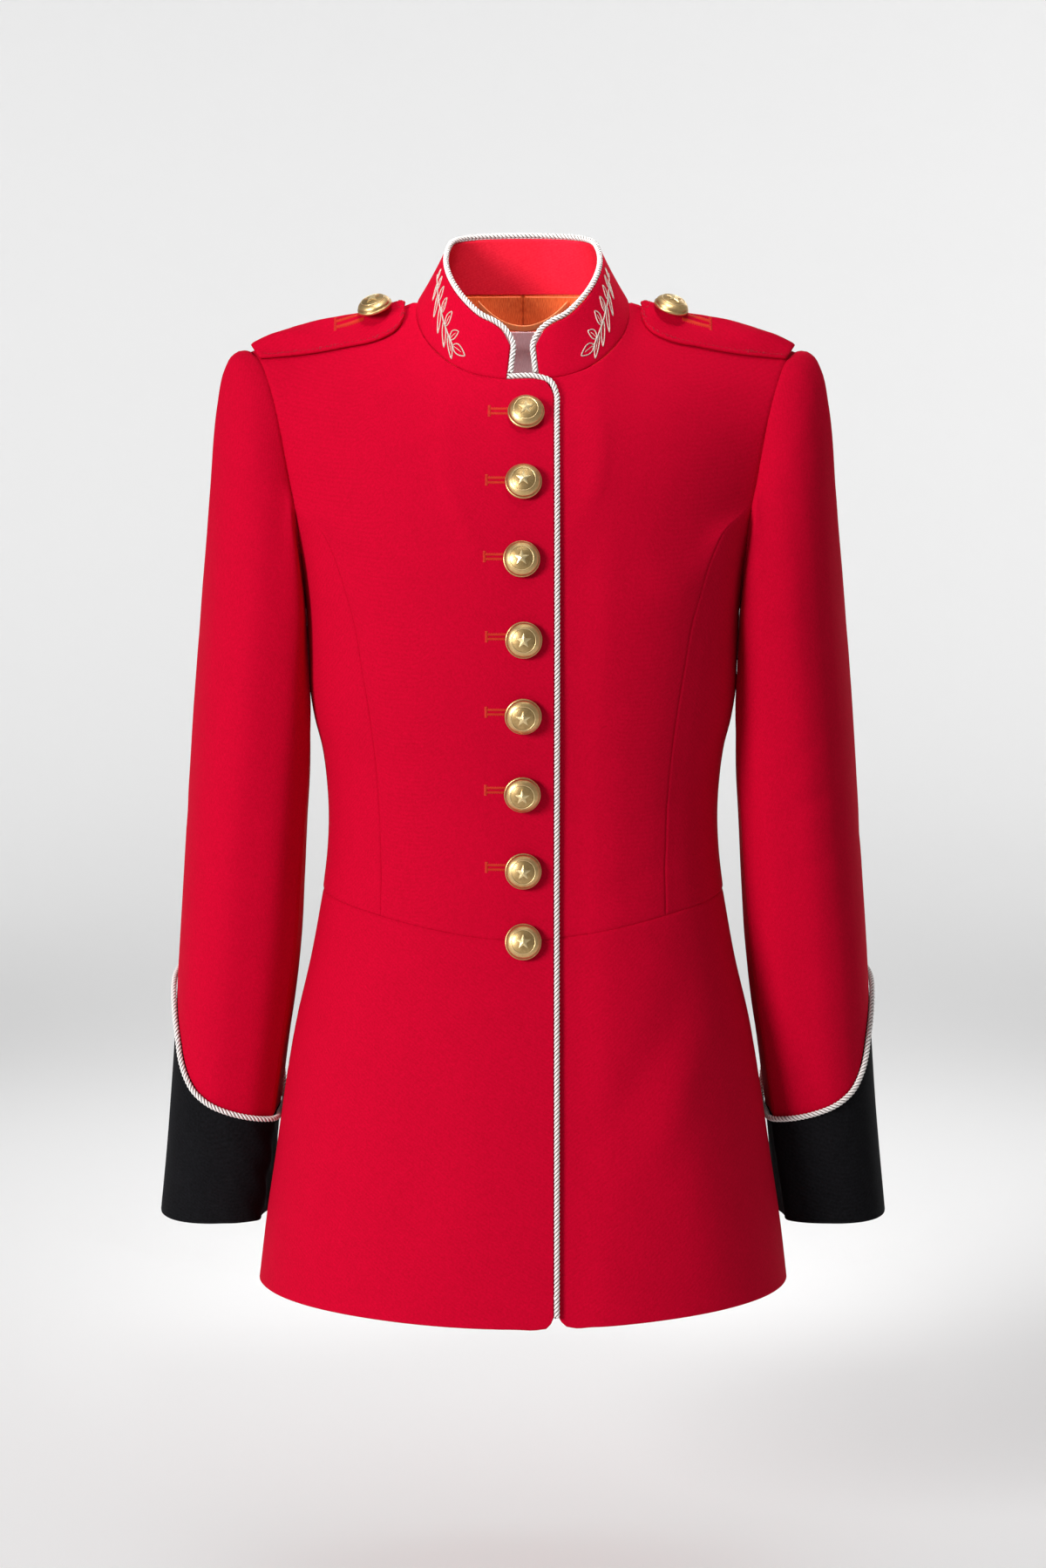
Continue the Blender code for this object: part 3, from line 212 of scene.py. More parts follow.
scarlet_wool = wool("scarlet wool twill", "#AD0021", "#C4002A", 0.16, "#FF2038")
orange_satin = satin("orange satin lining", "#E05A2A", "#FF8446", 0.42, 0.0005)

PANEL_COLUMNS = ("node", "wall", "order", "edges", "inside", "held", "rests_on")
PANELS = (  # order: what grows from the first line of points to the last
    # edges: of the first line, the last line, top and bottom, s for sewn and f for folded
    ("front", 0.0020, "x", "fsss", "faced", "hung", ("side", "back")),
    ("side", 0.0020, "y", "ssss", "lined", "hung", ("front", "back")),
    ("back", 0.0020, "x", "ssss", "lined", "hung", ("front",)),
    ("skirt_front", 0.0020, "x", "fssf", "faced hem", "hung", ("front", "side")),
    ("skirt_back", 0.0020, "x", "sssf", "lined hem", "hung", ("back", "side")),
    ("sleeve_top", 0.0018, "y", "ssss", "lined", "hung", ("front", "back")),
    ("sleeve_under", 0.0018, "y", "ssss", "lined", "hung", ("side", "sleeve_top")),
)
CLOTH_STEP = 0.0032  # between points
SEAM_ROWS = (0.0, 0.0005, 0.0011, 0.0019, 0.0030)  # how far from an edge points are set closer
SEAM_DEPTH, SEAM_WIDTH = 0.0008, 0.0026
SEAM_CLOSING = 0.00019  # how far each edge reaches out, to meet its neighbour 0.3 mm away
SEAM_NEIGHBOUR, SEAM_TURN = 0.0028, 0.004  # how far off a neighbour may be, and what turns to it


def merged(node):
    """A copy of a CAD solid's mesh with its doubled points joined."""
    mesh = bmesh.new()
    mesh.from_mesh(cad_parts[node].data)
    bmesh.ops.remove_doubles(mesh, verts=mesh.verts, dist=1e-6)
    mesh.normal_update()
    mesh.faces.ensure_lookup_table()
    return mesh


def touching(faces):
    """Sorts faces into groups that share edges."""
    left, groups = dict.fromkeys(faces), []
    while left:
        group = [left.popitem()[0]]
        for face in group:
            for other in (f for edge in face.edges for f in edge.link_faces):
                if other in left:
                    del left[other]
                    group.append(other)
        groups.append(group)
    return groups


def one_face(node, wall, seen_from=None):
    """The triangles of one face of a wall: those that have the other face right behind. It is
    the larger face, or the one that faces seen_from."""
    mesh = merged(node)
    tree = KDTree(len(mesh.faces))
    for face in mesh.faces:
        tree.insert(face.calc_center_median(), face.index)
    tree.balance()
    skin_faces = []
    for face in mesh.faces:
        behind = tree.find_range(face.calc_center_median() - face.normal * wall, wall * 0.8)
        if any(mesh.faces[n].normal.dot(face.normal) < -0.85 for _, n, _ in behind):
            skin_faces.append(face)
    skins = sorted(touching(skin_faces), key=lambda skin: -sum(f.calc_area() for f in skin))[:2]
    if seen_from:
        skins.sort(key=lambda skin: -sum(f.normal.dot(seen_from) * f.calc_area() for f in skin))
    return mesh, skins[0]


def count_out(seed, place, allowed):
    """Gives each point that is reached over the allowed triangles its counts of lines and points,
    because two triangles that share an edge make a parallelogram in those counts."""
    seen, todo = {seed}, [seed]
    for face in todo:
        for edge in face.edges:
            p, q = edge.verts
            r = next(v for v in face.verts if v not in (p, q))
            for other in edge.link_faces:
                if other in seen or not all(v in place for v in (p, q, r)):
                    continue
                i, j = (place[p][n] + place[q][n] - place[r][n] for n in (0, 1))
                if allowed(other, i, j):
                    place.setdefault(next(v for v in other.verts if v not in (p, q)), (i, j))
                    seen.add(other)
                    todo.append(other)


def sewn_points(node, wall, order, seen_from=None, around=0):
    """A panel's points, read back from its solid: [line][point down the line], and which way is
    out. Of the three ways to start from a triangle, the one that gives the fullest grid is right."""
    mesh, skin = one_face(node, wall, seen_from)
    seed, on_skin, best = skin[len(skin) // 2], set(skin), None
    for turn in range(3):
        corners = [seed.verts[(turn + n) % 3] for n in range(3)]
        place = dict(zip(corners, ((0, 0), (1, 0), (1, 1))))
        count_out(seed, place, lambda face, i, j: face in on_skin)
        box = []
        for count in np.array(list(place.values())).T:
            values, uses = np.unique(count, return_counts=True)
            kept = values[uses >= 0.5 * uses.max()]
            box.append((kept.min(), kept.max()))
        (left, right), (top, bottom) = box
        if around:  # as many lines as there should be, and the shortest steps down them
            pairs = [(a, b) for a in place for b in place if place[b] == (place[a][0], place[a][1] + 1)]
            share = -abs(right - left + 1 - around) - sum((a.co - b.co).length for a, b in pairs)
        else:
            size = (right - left + 1) * (bottom - top + 1)
            inside = {(i, j) for i, j in place.values() if left <= i <= right and top <= j <= bottom}
            share = len(inside) / max(size, len(place))
        if best is None or share > best[0]:
            best = share, place, box
    _, place, ((left, right), (top, bottom)) = best
    count_out(seed, place, lambda face, i, j: left <= i <= right and top <= j <= bottom)
    shape = (around or right - left + 1, bottom - top + 1)
    points, out = np.full((*shape, 3), np.nan), np.zeros((*shape, 3))
    for vertex, (i, j) in place.items():
        if top <= j <= bottom and (around or left <= i <= right):
            spot = (i - left) % shape[0], j - top
            points[spot], out[spot] = vertex.co, vertex.normal
    mesh.free()
    if np.isnan(points).any():
        raise ValueError(f"{node}: its points aren't a whole grid")
    rise = [np.abs(np.diff(points[..., 2], axis=axis)).mean() for axis in (0, 1)]
    if rise[0] > rise[1] and not around:
        points, out = points.transpose(1, 0, 2), out.transpose(1, 0, 2)
    if points[:, 0, 2].mean() < points[:, -1, 2].mean():
        points, out = points[:, ::-1], out[:, ::-1]
    key = points[..., "xyz".index(order)] * (-1 if order == "x" and node.endswith("right") else 1)
    if key[0].mean() > key[-1].mean():
        points, out = points[::-1], out[::-1]
    return points.copy(), out.copy()


def lengths(points, axis=0):
    """How far each point lies along its line."""
    steps = np.linalg.norm(np.diff(points, axis=axis), axis=-1)
    start = np.zeros_like(steps.take([0], axis=axis))
    return np.cumsum(np.concatenate((start, steps), axis=axis), axis=axis)


def unit(vectors):
    return vectors / np.maximum(np.linalg.norm(vectors, axis=-1, keepdims=True), 1e-12)


def smoothly(points, at, new):
    """Points on a smooth curve through the given ones, which lie at the distances `at`."""
    slope = np.gradient(points, at, axis=0)
    index = np.clip(np.searchsorted(at, new, side="right") - 1, 0, len(at) - 2)
    shape = (-1,) + (1,) * (points.ndim - 1)
    wide = (at[index + 1] - at[index]).reshape(shape)
    t = (new - at[index]).reshape(shape) / wide
    ends = (2 * t**3 - 3 * t**2 + 1) * points[index] + (3 * t**2 - 2 * t**3) * points[index + 1]
    return ends + wide * ((t**3 - 2 * t**2 + t) * slope[index] + (t**3 - t**2) * slope[index + 1])


def finer(points, step, near_edges, around=False):
    """More lines between the lines of a grid, on a smooth curve through them. It returns
    how far each new line is from the first and from the last one too."""
    if around:
        points = np.concatenate((points[-2:], points, points[:3]))
    at = lengths(points).mean(axis=1)
    low, high = (at[2], at[-3]) if around else (at[0], at[-1])
    count = max(2, round((high - low) / step))
    new = np.linspace(low, high, count + 1)
    if not around:
        rows = [d for d in near_edges if d < (high - low) / 3]
        new = new[(new > low + max(rows) * 1.5) & (new < high - max(rows) * 1.5)]
        new = np.concatenate((low + np.array(rows), new, high - np.array(rows)[::-1]))
    made = smoothly(points, at, new)
    if around:
        made = made[:-1]
        return made, np.full(len(made), 1.0), np.full(len(made), 1.0)
    return made, new - low, high - new


class Panel:
    """One cut piece of cloth: a fine grid of points on its solid's outer face."""

    def __init__(
        self, node, wall, order, edges, step=CLOTH_STEP, closing=SEAM_CLOSING, seen_from=None, around=0
    ):
        """`around` is the number of lines where they run round a tube."""
        self.node, self.wall, self.edges, self.around = node, wall, edges, bool(around)
        coarse, out = sewn_points(node, wall, order, seen_from, around)
        for grid, kinds in ((coarse, edges[:2]), (coarse.transpose(1, 0, 2), edges[2:])):
            for edge, within, kind in ((0, 1, kinds[0]), (-1, -2, kinds[1])):
                if kind == "s":
                    grid[edge] += unit(grid[edge] - grid[within]) * closing
        lines, first, last = finer(coarse, step, SEAM_ROWS, self.around)
        across, top, bottom = finer(lines.transpose(1, 0, 2), step, SEAM_ROWS)
        self.points = across.transpose(1, 0, 2)
        edges_away = (first[:, None], last[:, None], top[None], bottom[None])
        self.away = [np.broadcast_to(away, self.points.shape[:2]) for away in edges_away]
        self.normals = self.square_to(self.points)
        middle = coarse.shape[0] // 2, coarse.shape[1] // 2
        nearest = np.linalg.norm(self.points - coarse[middle], axis=2).argmin()
        if self.normals.reshape(-1, 3)[nearest] @ out[middle] < 0:
            self.normals = -self.normals
        self.flat = self.cut_size()

    def square_to(self, points):
        if self.around:
            ring = np.concatenate((points[-1:], points, points[:1]))
            along = ring[2:] - ring[:-2]
        else:
            along = np.gradient(points, axis=0)
        return unit(np.cross(unit(along), unit(np.gradient(points, axis=1))))

    def cut_size(self):
        """(width, length) of the cut, and its area."""
        points = np.concatenate((self.points, self.points[:1])) if self.around else self.points
        wide = np.linalg.norm(np.diff(points, axis=0), axis=2).sum(axis=0).max()
        long = np.linalg.norm(np.diff(points, axis=1), axis=2).sum(axis=1).max()
        a, b = points[1:, 1:] - points[:-1, :-1], points[1:, :-1] - points[:-1, 1:]
        area = np.linalg.norm(np.cross(a, b), axis=2).sum() / 2
        return round(float(wide), 3), round(float(long), 3), float(area)

    def rim(self):
        """The grid places of its sewn edges."""
        n, m = self.points.shape[:2]
        sides = [[(i, j) for j in range(m)] for i in (0, n - 1)]
        sides += [[(i, j) for i in range(n)] for j in (0, m - 1)]
        return [spot for side, kind in zip(sides, self.edges) if kind == "s" for spot in side]


def share_seam_normals(panels):
    """Turns the cloth beside each seam to face as its neighbour does, so that both dip into it alike."""
    spots = [(panel, spot) for panel in panels for spot in panel.rim()]
    tree = KDTree(len(spots))
    for number, (panel, spot) in enumerate(spots):
        tree.insert(panel.points[spot], number)
    tree.balance()
    for panel in panels:
        panel.shared = panel.normals.copy()
    for panel, spot in spots:
        met = {}
        for _, number, gap in tree.find_range(panel.points[spot], SEAM_NEIGHBOUR):
            other, at = spots[number]
            if gap < met.get(id(other), (9,))[0]:
                met[id(other)] = gap, other.normals[at]
        panel.shared[spot] = unit(sum(normal for _, normal in met.values()))
    for panel in panels:
        n, m = panel.points.shape[:2]
        i, j = np.indices((n, m))
        nearest_edge = ((0 * i, j), (0 * i + n - 1, j), (i, 0 * j), (i, 0 * j + m - 1))
        turned, weight = np.zeros_like(panel.normals), np.zeros((n, m, 1))
        for side, kind in enumerate(panel.edges):
            if kind == "s":
                near = np.clip(1 - panel.away[side] / SEAM_TURN, 0, 1)[..., None] ** 1.5
                turned += panel.shared[nearest_edge[side]] * near
                weight += near
        weight = np.clip(weight, 0, 1)
        panel.normals = unit(panel.normals * (1 - weight) + unit(turned + 1e-9) * weight)


def wandering(points, size, seed):
    """A smooth uneven value from -1 to 1 at each point, the same for every piece that meets there."""
    flat = points.reshape(-1, 3) / size + seed
    return np.array([noise.noise(p) for p in flat]).reshape(points.shape[:-1])


# No fold in the photograph is deep: these are the soft rolls and hollows of a pressed coat.
# Each runs from one place to another with a bow in it, and stands out or, if less than 0, dips in.
CREASES = {  # pieces, and the way they face: rows of across, z, across, z, bow, width, depth in mm
    ("front_left side_left", "front"): (
        (146, -205, 70, -168, 6, 12, 1.1), (106, -372, 48, -392, 4, 8, -0.8),
        (112, -330, 70, -352, 3, 7, -0.5),
    ),
    ("front_right side_right", "front"): (
        (-150, -196, -62, -176, -5, 10, 0.9), (-108, -388, -40, -380, -3, 7, -0.7),
    ),
    ("front_right", "front"): (
        (-20, -110, -90, -90, 4, 16, -0.7),
    ),
    ("skirt_front_left", "front"): (
        (82, -465, 128, -672, 5, 22, 2.2), (112, -448, 46, -566, 6, 14, -1.8),
        (122, -480, 76, -590, 5, 13, 1.6), (48, -500, 62, -660, -3, 16, -1.1),
    ),
    ("skirt_front_right", "front"): (
        (-60, -480, -88, -668, 4, 24, -1.3), (-108, -455, -148, -660, -5, 18, 1.4),
        (-96, -448, -40, -470, -4, 9, -0.6),
    ),
    ("sleeve_top_left sleeve_under_left", "front"): (
        (176, -352, 218, -334, 4, 7, -1.2), (178, -384, 212, -378, -3, 6, -0.8),
        (180, -316, 206, -296, 2, 6, -0.7),
    ),
    ("sleeve_top_left", "front"): (
        (196, -120, 222, -300, 6, 15, 1.1), (226, -410, 240, -500, -4, 12, 0.8),
    ),
    ("sleeve_top_right sleeve_under_right", "front"): (
        (-176, -362, -222, -340, -4, 7.5, -1.1), (-179, -398, -208, -386, 3, 6, -0.9),
        (-181, -328, -204, -312, -2, 5.5, -0.6),
    ),
    ("sleeve_top_right", "front"): (
        (-194, -110, -218, -280, -5, 16, 1), (-222, -430, -240, -520, 4, 13, 0.9),
    ),
    ("sleeve_top_left sleeve_under_left", "left"): (
        (60, -352, 10, -366, 4, 9, -0.8),
    ),
    ("sleeve_top_right sleeve_under_right", "right"): (
        (62, -344, 14, -360, -4, 8.5, -0.9),
    ),
    ("sleeve_top_left sleeve_under_left", "back"): (
        (190, -330, 226, -352, 3, 9, 0.9),
    ),
    ("sleeve_top_right sleeve_under_right", "back"): (
        (-192, -340, -226, -358, 3, 8.5, 0.8),
    ),
    ("back_left side_left", "back"): (
        (140, -170, 70, -135, 6, 13, 1.2), (16, -384, 96, -366, 4, 8, -1),
        (30, -350, 88, -336, 3, 7, -0.6),
    ),
    ("back_right side_right", "back"): (
        (-142, -178, -64, -140, -6, 12, 1.1), (-14, -372, -92, -380, -3, 8, -0.9),
    ),
    ("skirt_back_left", "back"): (
        (52, -430, 86, -670, 6, 24, 2), (112, -450, 150, -668, -4, 20, -1.3),
    ),
    ("skirt_back_right", "back"): (
        (-58, -440, -80, -668, -5, 22, 1.8), (-106, -460, -146, -670, 4, 20, -1.2),
    ),
    ("skirt_front_left skirt_back_left", "left"): (
        (30, -440, 36, -660, 5, 20, 1.4),
    ),
    ("skirt_front_right skirt_back_right", "right"): (
        (26, -450, 30, -665, -5, 21, 1.3),
    ),
}
FACES = {  # the two axes that a crease's places are on, and the way out
    "front": ((0, 2), (0, -1, 0)), "back": ((0, 2), (0, 1, 0)),
    "left": ((1, 2), (1, 0, 0)), "right": ((1, 2), (-1, 0, 0)),
}
BROAD_WAVE, FINE_WAVE = (0.060, 0.00026, 3.0), (0.018, 0.00005, 9.0)  # length, height and seed
PUCKER_LENGTH, PUCKER_SHARE = 0.011, 0.35  # the seams' uneven depth


def creased(panel):
    """How far the cloth stands out at each point: the soft troughs and ridges that are listed."""
    stands = np.zeros(panel.points.shape[:2])
    rows = [(face, row) for (on, face), rows in CREASES.items() if panel.node in on.split() for row in rows]
    for face, row in rows:
        a1, z1, a2, z2, bow, width, depth = np.array(row) / 1000
        axes, facing = FACES[face]
        start, end = np.array((a1, z1)), np.array((a2, z2))
        side = np.array((z1 - z2, a2 - a1)) / np.linalg.norm(end - start)
        spot = panel.points[..., axes]
        near = np.full(stands.shape, 9.0)
        along = np.zeros(stands.shape)
        for t in np.linspace(0, 1, 21):
            on_line = start + (end - start) * t + side * bow * 4 * t * (1 - t)
            gap = np.linalg.norm(spot - on_line, axis=-1)
            along = np.where(gap < near, t, along)
            near = np.minimum(gap, near)
        faces_it = np.clip((panel.normals @ np.array(facing) - 0.15) / 0.35, 0, 1)
        fading = np.sin(np.pi * np.clip(along, 0.02, 0.98)) ** 0.8
        stands += depth * np.exp(-((near / width) ** 2)) * fading * faces_it
    return stands


def in_scene(name, data, *finishes):
    """An object of this mesh, with its faces turned outwards, that rides with the body."""
    shape = bmesh.new()
    shape.from_mesh(data)
    bmesh.ops.remove_doubles(shape, verts=shape.verts, dist=1e-6)
    bmesh.ops.recalc_face_normals(shape, faces=shape.faces)
    shape.to_mesh(data)
    shape.free()
    for finish in finishes:
        data.materials.append(finish)
    piece = bpy.data.objects.new(name, data)
    bpy.context.scene.collection.objects.link(piece)
    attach(piece, "root")
    return piece


def make_cloth(name, panel, outer_finish, inner_finish=None, faced=None):
    """Builds the wall from its fine grid: dipped along seams, rounded along folded edges. Where
    it is faced, its inside has the outer finish too."""
    n, m = panel.points.shape[:2]
    height = creased(panel)
    for length, tall, seed in (BROAD_WAVE, FINE_WAVE):
        height = height + tall * wandering(panel.points, length, seed)
    drop, rise = np.zeros((n, m)), np.zeros((n, m))
    pucker = 1 + PUCKER_SHARE * wandering(panel.points, PUCKER_LENGTH, 5.0)
    half = panel.wall / 2
    for away, kind in zip(panel.away, panel.edges):
        if kind == "s":
            drop = np.maximum(drop, SEAM_DEPTH * pucker * np.clip(1 - away / SEAM_WIDTH, 0, 1) ** 2)
        elif kind == "f":
            round_off = half - np.sqrt(half**2 - np.clip(half - away, 0, half) ** 2)
            drop, rise = np.maximum(drop, round_off), np.maximum(rise, round_off)
    outer = panel.points + panel.normals * (height - drop)[..., None]
    inner = panel.points + panel.normals * (height - panel.wall + rise)[..., None]
    faces, inside = [], []
    for i in range(n if panel.around else n - 1):
        k = (i + 1) % n
        for j in range(m - 1):
            quad = (i * m + j, k * m + j, k * m + j + 1, i * m + j + 1)
            faces += [quad, tuple(n * m + c for c in reversed(quad))]
            inside += [0, int(faced is None or not faced[i, j])]
        faces += [(i * m + j, k * m + j, (n + k) * m + j, (n + i) * m + j) for j in (0, m - 1)]
        inside += [0, 0]
    if not panel.around:
        for i in (0, (n - 1) * m):
            faces += [(i + j, i + j + 1, n * m + i + j + 1, n * m + i + j) for j in range(m - 1)]
            inside += [0] * (m - 1)
    data = bpy.data.meshes.new(name)
    data.from_pydata(np.concatenate((outer.reshape(-1, 3), inner.reshape(-1, 3))), [], faces)
    data.polygons.foreach_set("material_index", inside)
    across, down = lengths(panel.points), lengths(panel.points, axis=1)
    cut = np.stack((across - across.max() / 2, -down), axis=-1).reshape(-1, 2)
    corners = cut[[c % (n * m) for face in faces for c in face]].reshape(-1, 4, 2)
    if panel.around:  # the last strip's far corners carry on the count, and don't jump back to 0
        jump = corners[..., 0].max(axis=1, keepdims=True) - corners[..., 0] > across.max() * 0.6
        corners[..., 0] += jump * (across.max() + np.linalg.norm(panel.points[0, 0] - panel.points[-1, 0]))
    data.uv_layers.new(name="cut").data.foreach_set("uv", corners.reshape(-1).astype(np.float32))
    data.shade_smooth()
    panel.piece = in_scene(name, data, outer_finish, inner_finish or outer_finish)
    panel.height = height - drop
    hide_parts(panel.node)
    return panel.piece


FACING_WIDTH, HEM_TURNED_UP = 0.070, 0.038
red_panels, facts_of = {}, {}
for row in PANELS:
    facts = dict(zip(PANEL_COLUMNS, row))
    for side in ("left", "right"):
        node = f"{facts['node']}_{side}"
        red_panels[node] = Panel(node, facts["wall"], facts["order"], facts["edges"])
        facts_of[node] = facts
share_seam_normals(list(red_panels.values()))
for node, panel in red_panels.items():
    inside = facts_of[node]["inside"]
    faced = np.zeros(panel.points.shape[:2], bool)
    if "faced" in inside:
        faced |= panel.away[0] < FACING_WIDTH
    if "hem" in inside:
        faced |= panel.away[3] < HEM_TURNED_UP
    make_cloth(f"wool_{node}", panel, scarlet_wool, orange_satin, faced)
for node, panel in red_panels.items():
    side = node.rsplit("_", 1)[1]

# ------------------------------------------------------------------------------ the cuffs
# Deep cuffs of the same wool cloth in black, set over the sleeve's end and piped along their
# scooped top edge. The hem is turned up inside and pressed.
CUFF_LINES = 22  # round a cuff
# The same milled twill dyed black: its nap keeps it a soft charcoal where the light grazes it.
black_wool = wool("black wool twill", "#09090A", "#17171A", 0.12, "#5A5A60")
for side in ("left", "right"):
    cuff = Panel(f"cuff_{side}", 0.0022, "y", "..sf", around=CUFF_LINES)
    share_seam_normals([cuff])
    make_cloth(f"wool_cuff_{side}", cuff, black_wool)

# ----------------------------------------------------------------------------- the collar
# A stand collar of two layers of the red wool over a stiffening. Its inner layer is the same
# cloth with painted light: its colour is painted brighter, as if the light fell straight into the neck.
inner_wool_painted_lighter = wool("scarlet wool twill painted lighter inside the neck", "#E41A34", "#F22A3F", 0.20, "#FF6A74")
collar = Panel("collar", 0.0028, "x", "fffs", closing=0.00055)
share_seam_normals([collar])
make_cloth("wool_collar", collar, scarlet_wool, inner_wool_painted_lighter)

# ------------------------------------------------- the lining, label and hanger at the neck
# Inside the back neck the orange satin lining shows, with its centre seam, a pale woven label
# left bare, and a narrow satin loop to hang the jacket by.
for side in ("left", "right"):
    lining = Panel(f"lining_{side}", 0.0010, "x", "sfff", seen_from=(0, -1, 0))
    make_cloth(f"satin_lining_{side}", lining, orange_satin)
# A label woven of fine pale yarn: duller than the lining, with the same soft bands.
pale_satin = satin("pale mauve woven label", "#DDB9C0", "#F2D6DC", 0.5, 0.0004)
label = Panel("label", 0.0008, "x", "ffff", seen_from=(0, -1, 0))
make_cloth("satin_label", label, pale_satin)
# A doubled ribbon of the lining's satin, a little glossier, with painted light: its colour is painted
# lighter than the lining's, as if it lay closer to the light.
ribbon_satin_painted_lighter = satin("orange satin ribbon painted lighter", "#FF8A4C", "#FFB27C", 0.38, 0.0004)
loop = Panel("hanger_loop", 0.0010, "x", "ffff", step=0.0012, seen_from=(0, -1, 0))
piece = make_cloth("satin_hanger_loop", loop, ribbon_satin_painted_lighter)

# ------------------------------------------------------------------- the shoulder straps
# Straps of two layers of the red wool turned out to a finished edge, topstitched 5 mm in,
# sewn into the armhole seam, and held at the tip by a small dome button.
STITCH_LENGTH, STITCH_PITCH, STITCH_RADIUS, STITCH_INSET = 0.0021, 0.0030, 0.00030, 0.0050
THREAD_SIDES, CORD_SIDES = 5, 6
FIBRE_SIZE = (1 / 700, 1 / 4200)  # along a thread and across it: real fibres are 20 microns thick
# The painted shade in the grooves where a cord's strands meet.
CORD_PAINTED_SHADE = "#75695F"
RAY_START = 0.06  # how far off the cloth a ray to it begins


class Threads:
    """Round threads, gathered into one mesh. Each is a tube along its line, closed at both ends."""

    def __init__(self, sides):
        self.sides, self.points, self.faces, self.spots = sides, [], [], []

    def add(self, line, radii, out):
        line = np.array(line, float)
        count, sides = len(line), self.sides
        along = unit(np.gradient(line, axis=0))
        out = np.broadcast_to(out, line.shape)
        out = unit(out - along * (out * along).sum(axis=1, keepdims=True))
        side = np.cross(along, out)
        turn = np.arange(sides) / sides * math.tau
        radii = np.broadcast_to(radii, count)[:, None, None]
        ring = out[:, None] * np.cos(turn)[None, :, None] + side[:, None] * np.sin(turn)[None, :, None]
        first = sum(len(p) for p in self.points)
        self.points.append((line[:, None] + ring * radii).reshape(-1, 3))
        far = lengths(line)
        girth = float(radii.max()) * math.tau
        for i in range(count - 1):
            for j in range(sides):
                k = (j + 1) % sides
                a = first + i * sides
                self.faces.append((a + j, a + k, a + sides + k, a + sides + j))
                low, high = girth * j / sides, girth * (j + 1) / sides
                self.spots += [(far[i], low), (far[i], high), (far[i + 1], high), (far[i + 1], low)]
        for row, order in ((0, -1), (count - 1, 1)):
            self.faces.append(tuple(first + row * sides + j for j in range(sides))[::order])
            self.spots += [(far[row], 0.0)] * sides

    def finish(self, name, material):
        data = bpy.data.meshes.new(name)
        data.from_pydata(np.concatenate(self.points), [], self.faces)
        data.uv_layers.new(name="cut").data.foreach_set("uv", np.array(self.spots, np.float32).reshape(-1))
        data.shade_smooth()
        return in_scene(name, data, material)


def thread_finish(name, deep, light, rough, metal=0.0, laid=0.0):
    """Twisted thread: fine fibres that run along it at a slant. In a cord, `laid` is the radius of
    a strand, and the sides of each strand, where it meets the next, get painted shade."""
    material, shader = new_material(
        name, roughness=rough, metallic=metal, specular_ior_level=0.25,
        sheen_weight=0.05, sheen_roughness=0.4,
    )
    cut = add_node(material, "UVMap", uv_map="cut")
    fine = (1 / FIBRE_SIZE[0], 1 / FIBRE_SIZE[1], 1)
    slant = add_node(material, "Mapping", {"Vector": cut, "Rotation": (0, 0, 0.5), "Scale": fine})
    fibres = add_node(material, "TexNoise", {"Vector": slant, "Scale": 1.0, "Detail": 2.0})
    tint = add_node(material, "ValToRGB", {0: fibres}, ((0.30, colour(deep)), (0.66, colour(light))))
    if laid:
        # Painted shade: each strand's sides, turned towards the next strand, are mixed towards the dark
        # colour.
        split = add_node(material, "SeparateXYZ", {0: cut})
        angle = add_node(material, "Math", {0: split.outputs[1], 1: 1 / laid}, operation="MULTIPLY")
        facing = add_node(material, "Math", {0: angle}, operation="COSINE")
        out_of_painted_shade = add_node(material, "MapRange", {0: facing, 1: 0.05, 2: 0.62})
        mixed = add_node(material, "Mix", {0: out_of_painted_shade, 6: colour(CORD_PAINTED_SHADE), 7: tint}, data_type="RGBA")
        tint = mixed.outputs[2]
    cover(material, shader, tint, fibres, 0.4, 0.0002)
    return material


def on_cloth(tree, point, facing):
    """Where a ray sent in against `facing` meets the cloth, and which way the cloth faces there."""
    facing = Vector(facing)
    place, normal, _, _ = tree.ray_cast(Vector(point) + facing * RAY_START, -facing)
    if place is None:
        place, normal, _, _ = tree.find_nearest(Vector(point))
    return np.array(place), np.array(normal if normal.dot(facing) > 0 else -normal)


def sew(threads, tree, start, end, facing, radius, lift=0.35):
    """One stitch from start to end on the cloth, thinner where it dives in."""
    places = []
    for t, dive in ((0.0, 0.9), (0.22, 0), (0.5, 0), (0.78, 0), (1.0, 0.9)):
        place, normal = on_cloth(tree, start + (end - start) * t, facing)
        places.append(place + normal * radius * (lift - dive))
    threads.add(places, np.array((0.45, 0.95, 1.0, 0.95, 0.45)) * radius, normal)


def even_line(points, pitch):
    """The points of a line at even distances."""
    points = np.array(points)
    at = lengths(points)
    new = np.linspace(0, at[-1], max(2, round(at[-1] / pitch) + 1))
    return np.stack([np.interp(new, at, points[:, n]) for n in range(3)], axis=1)


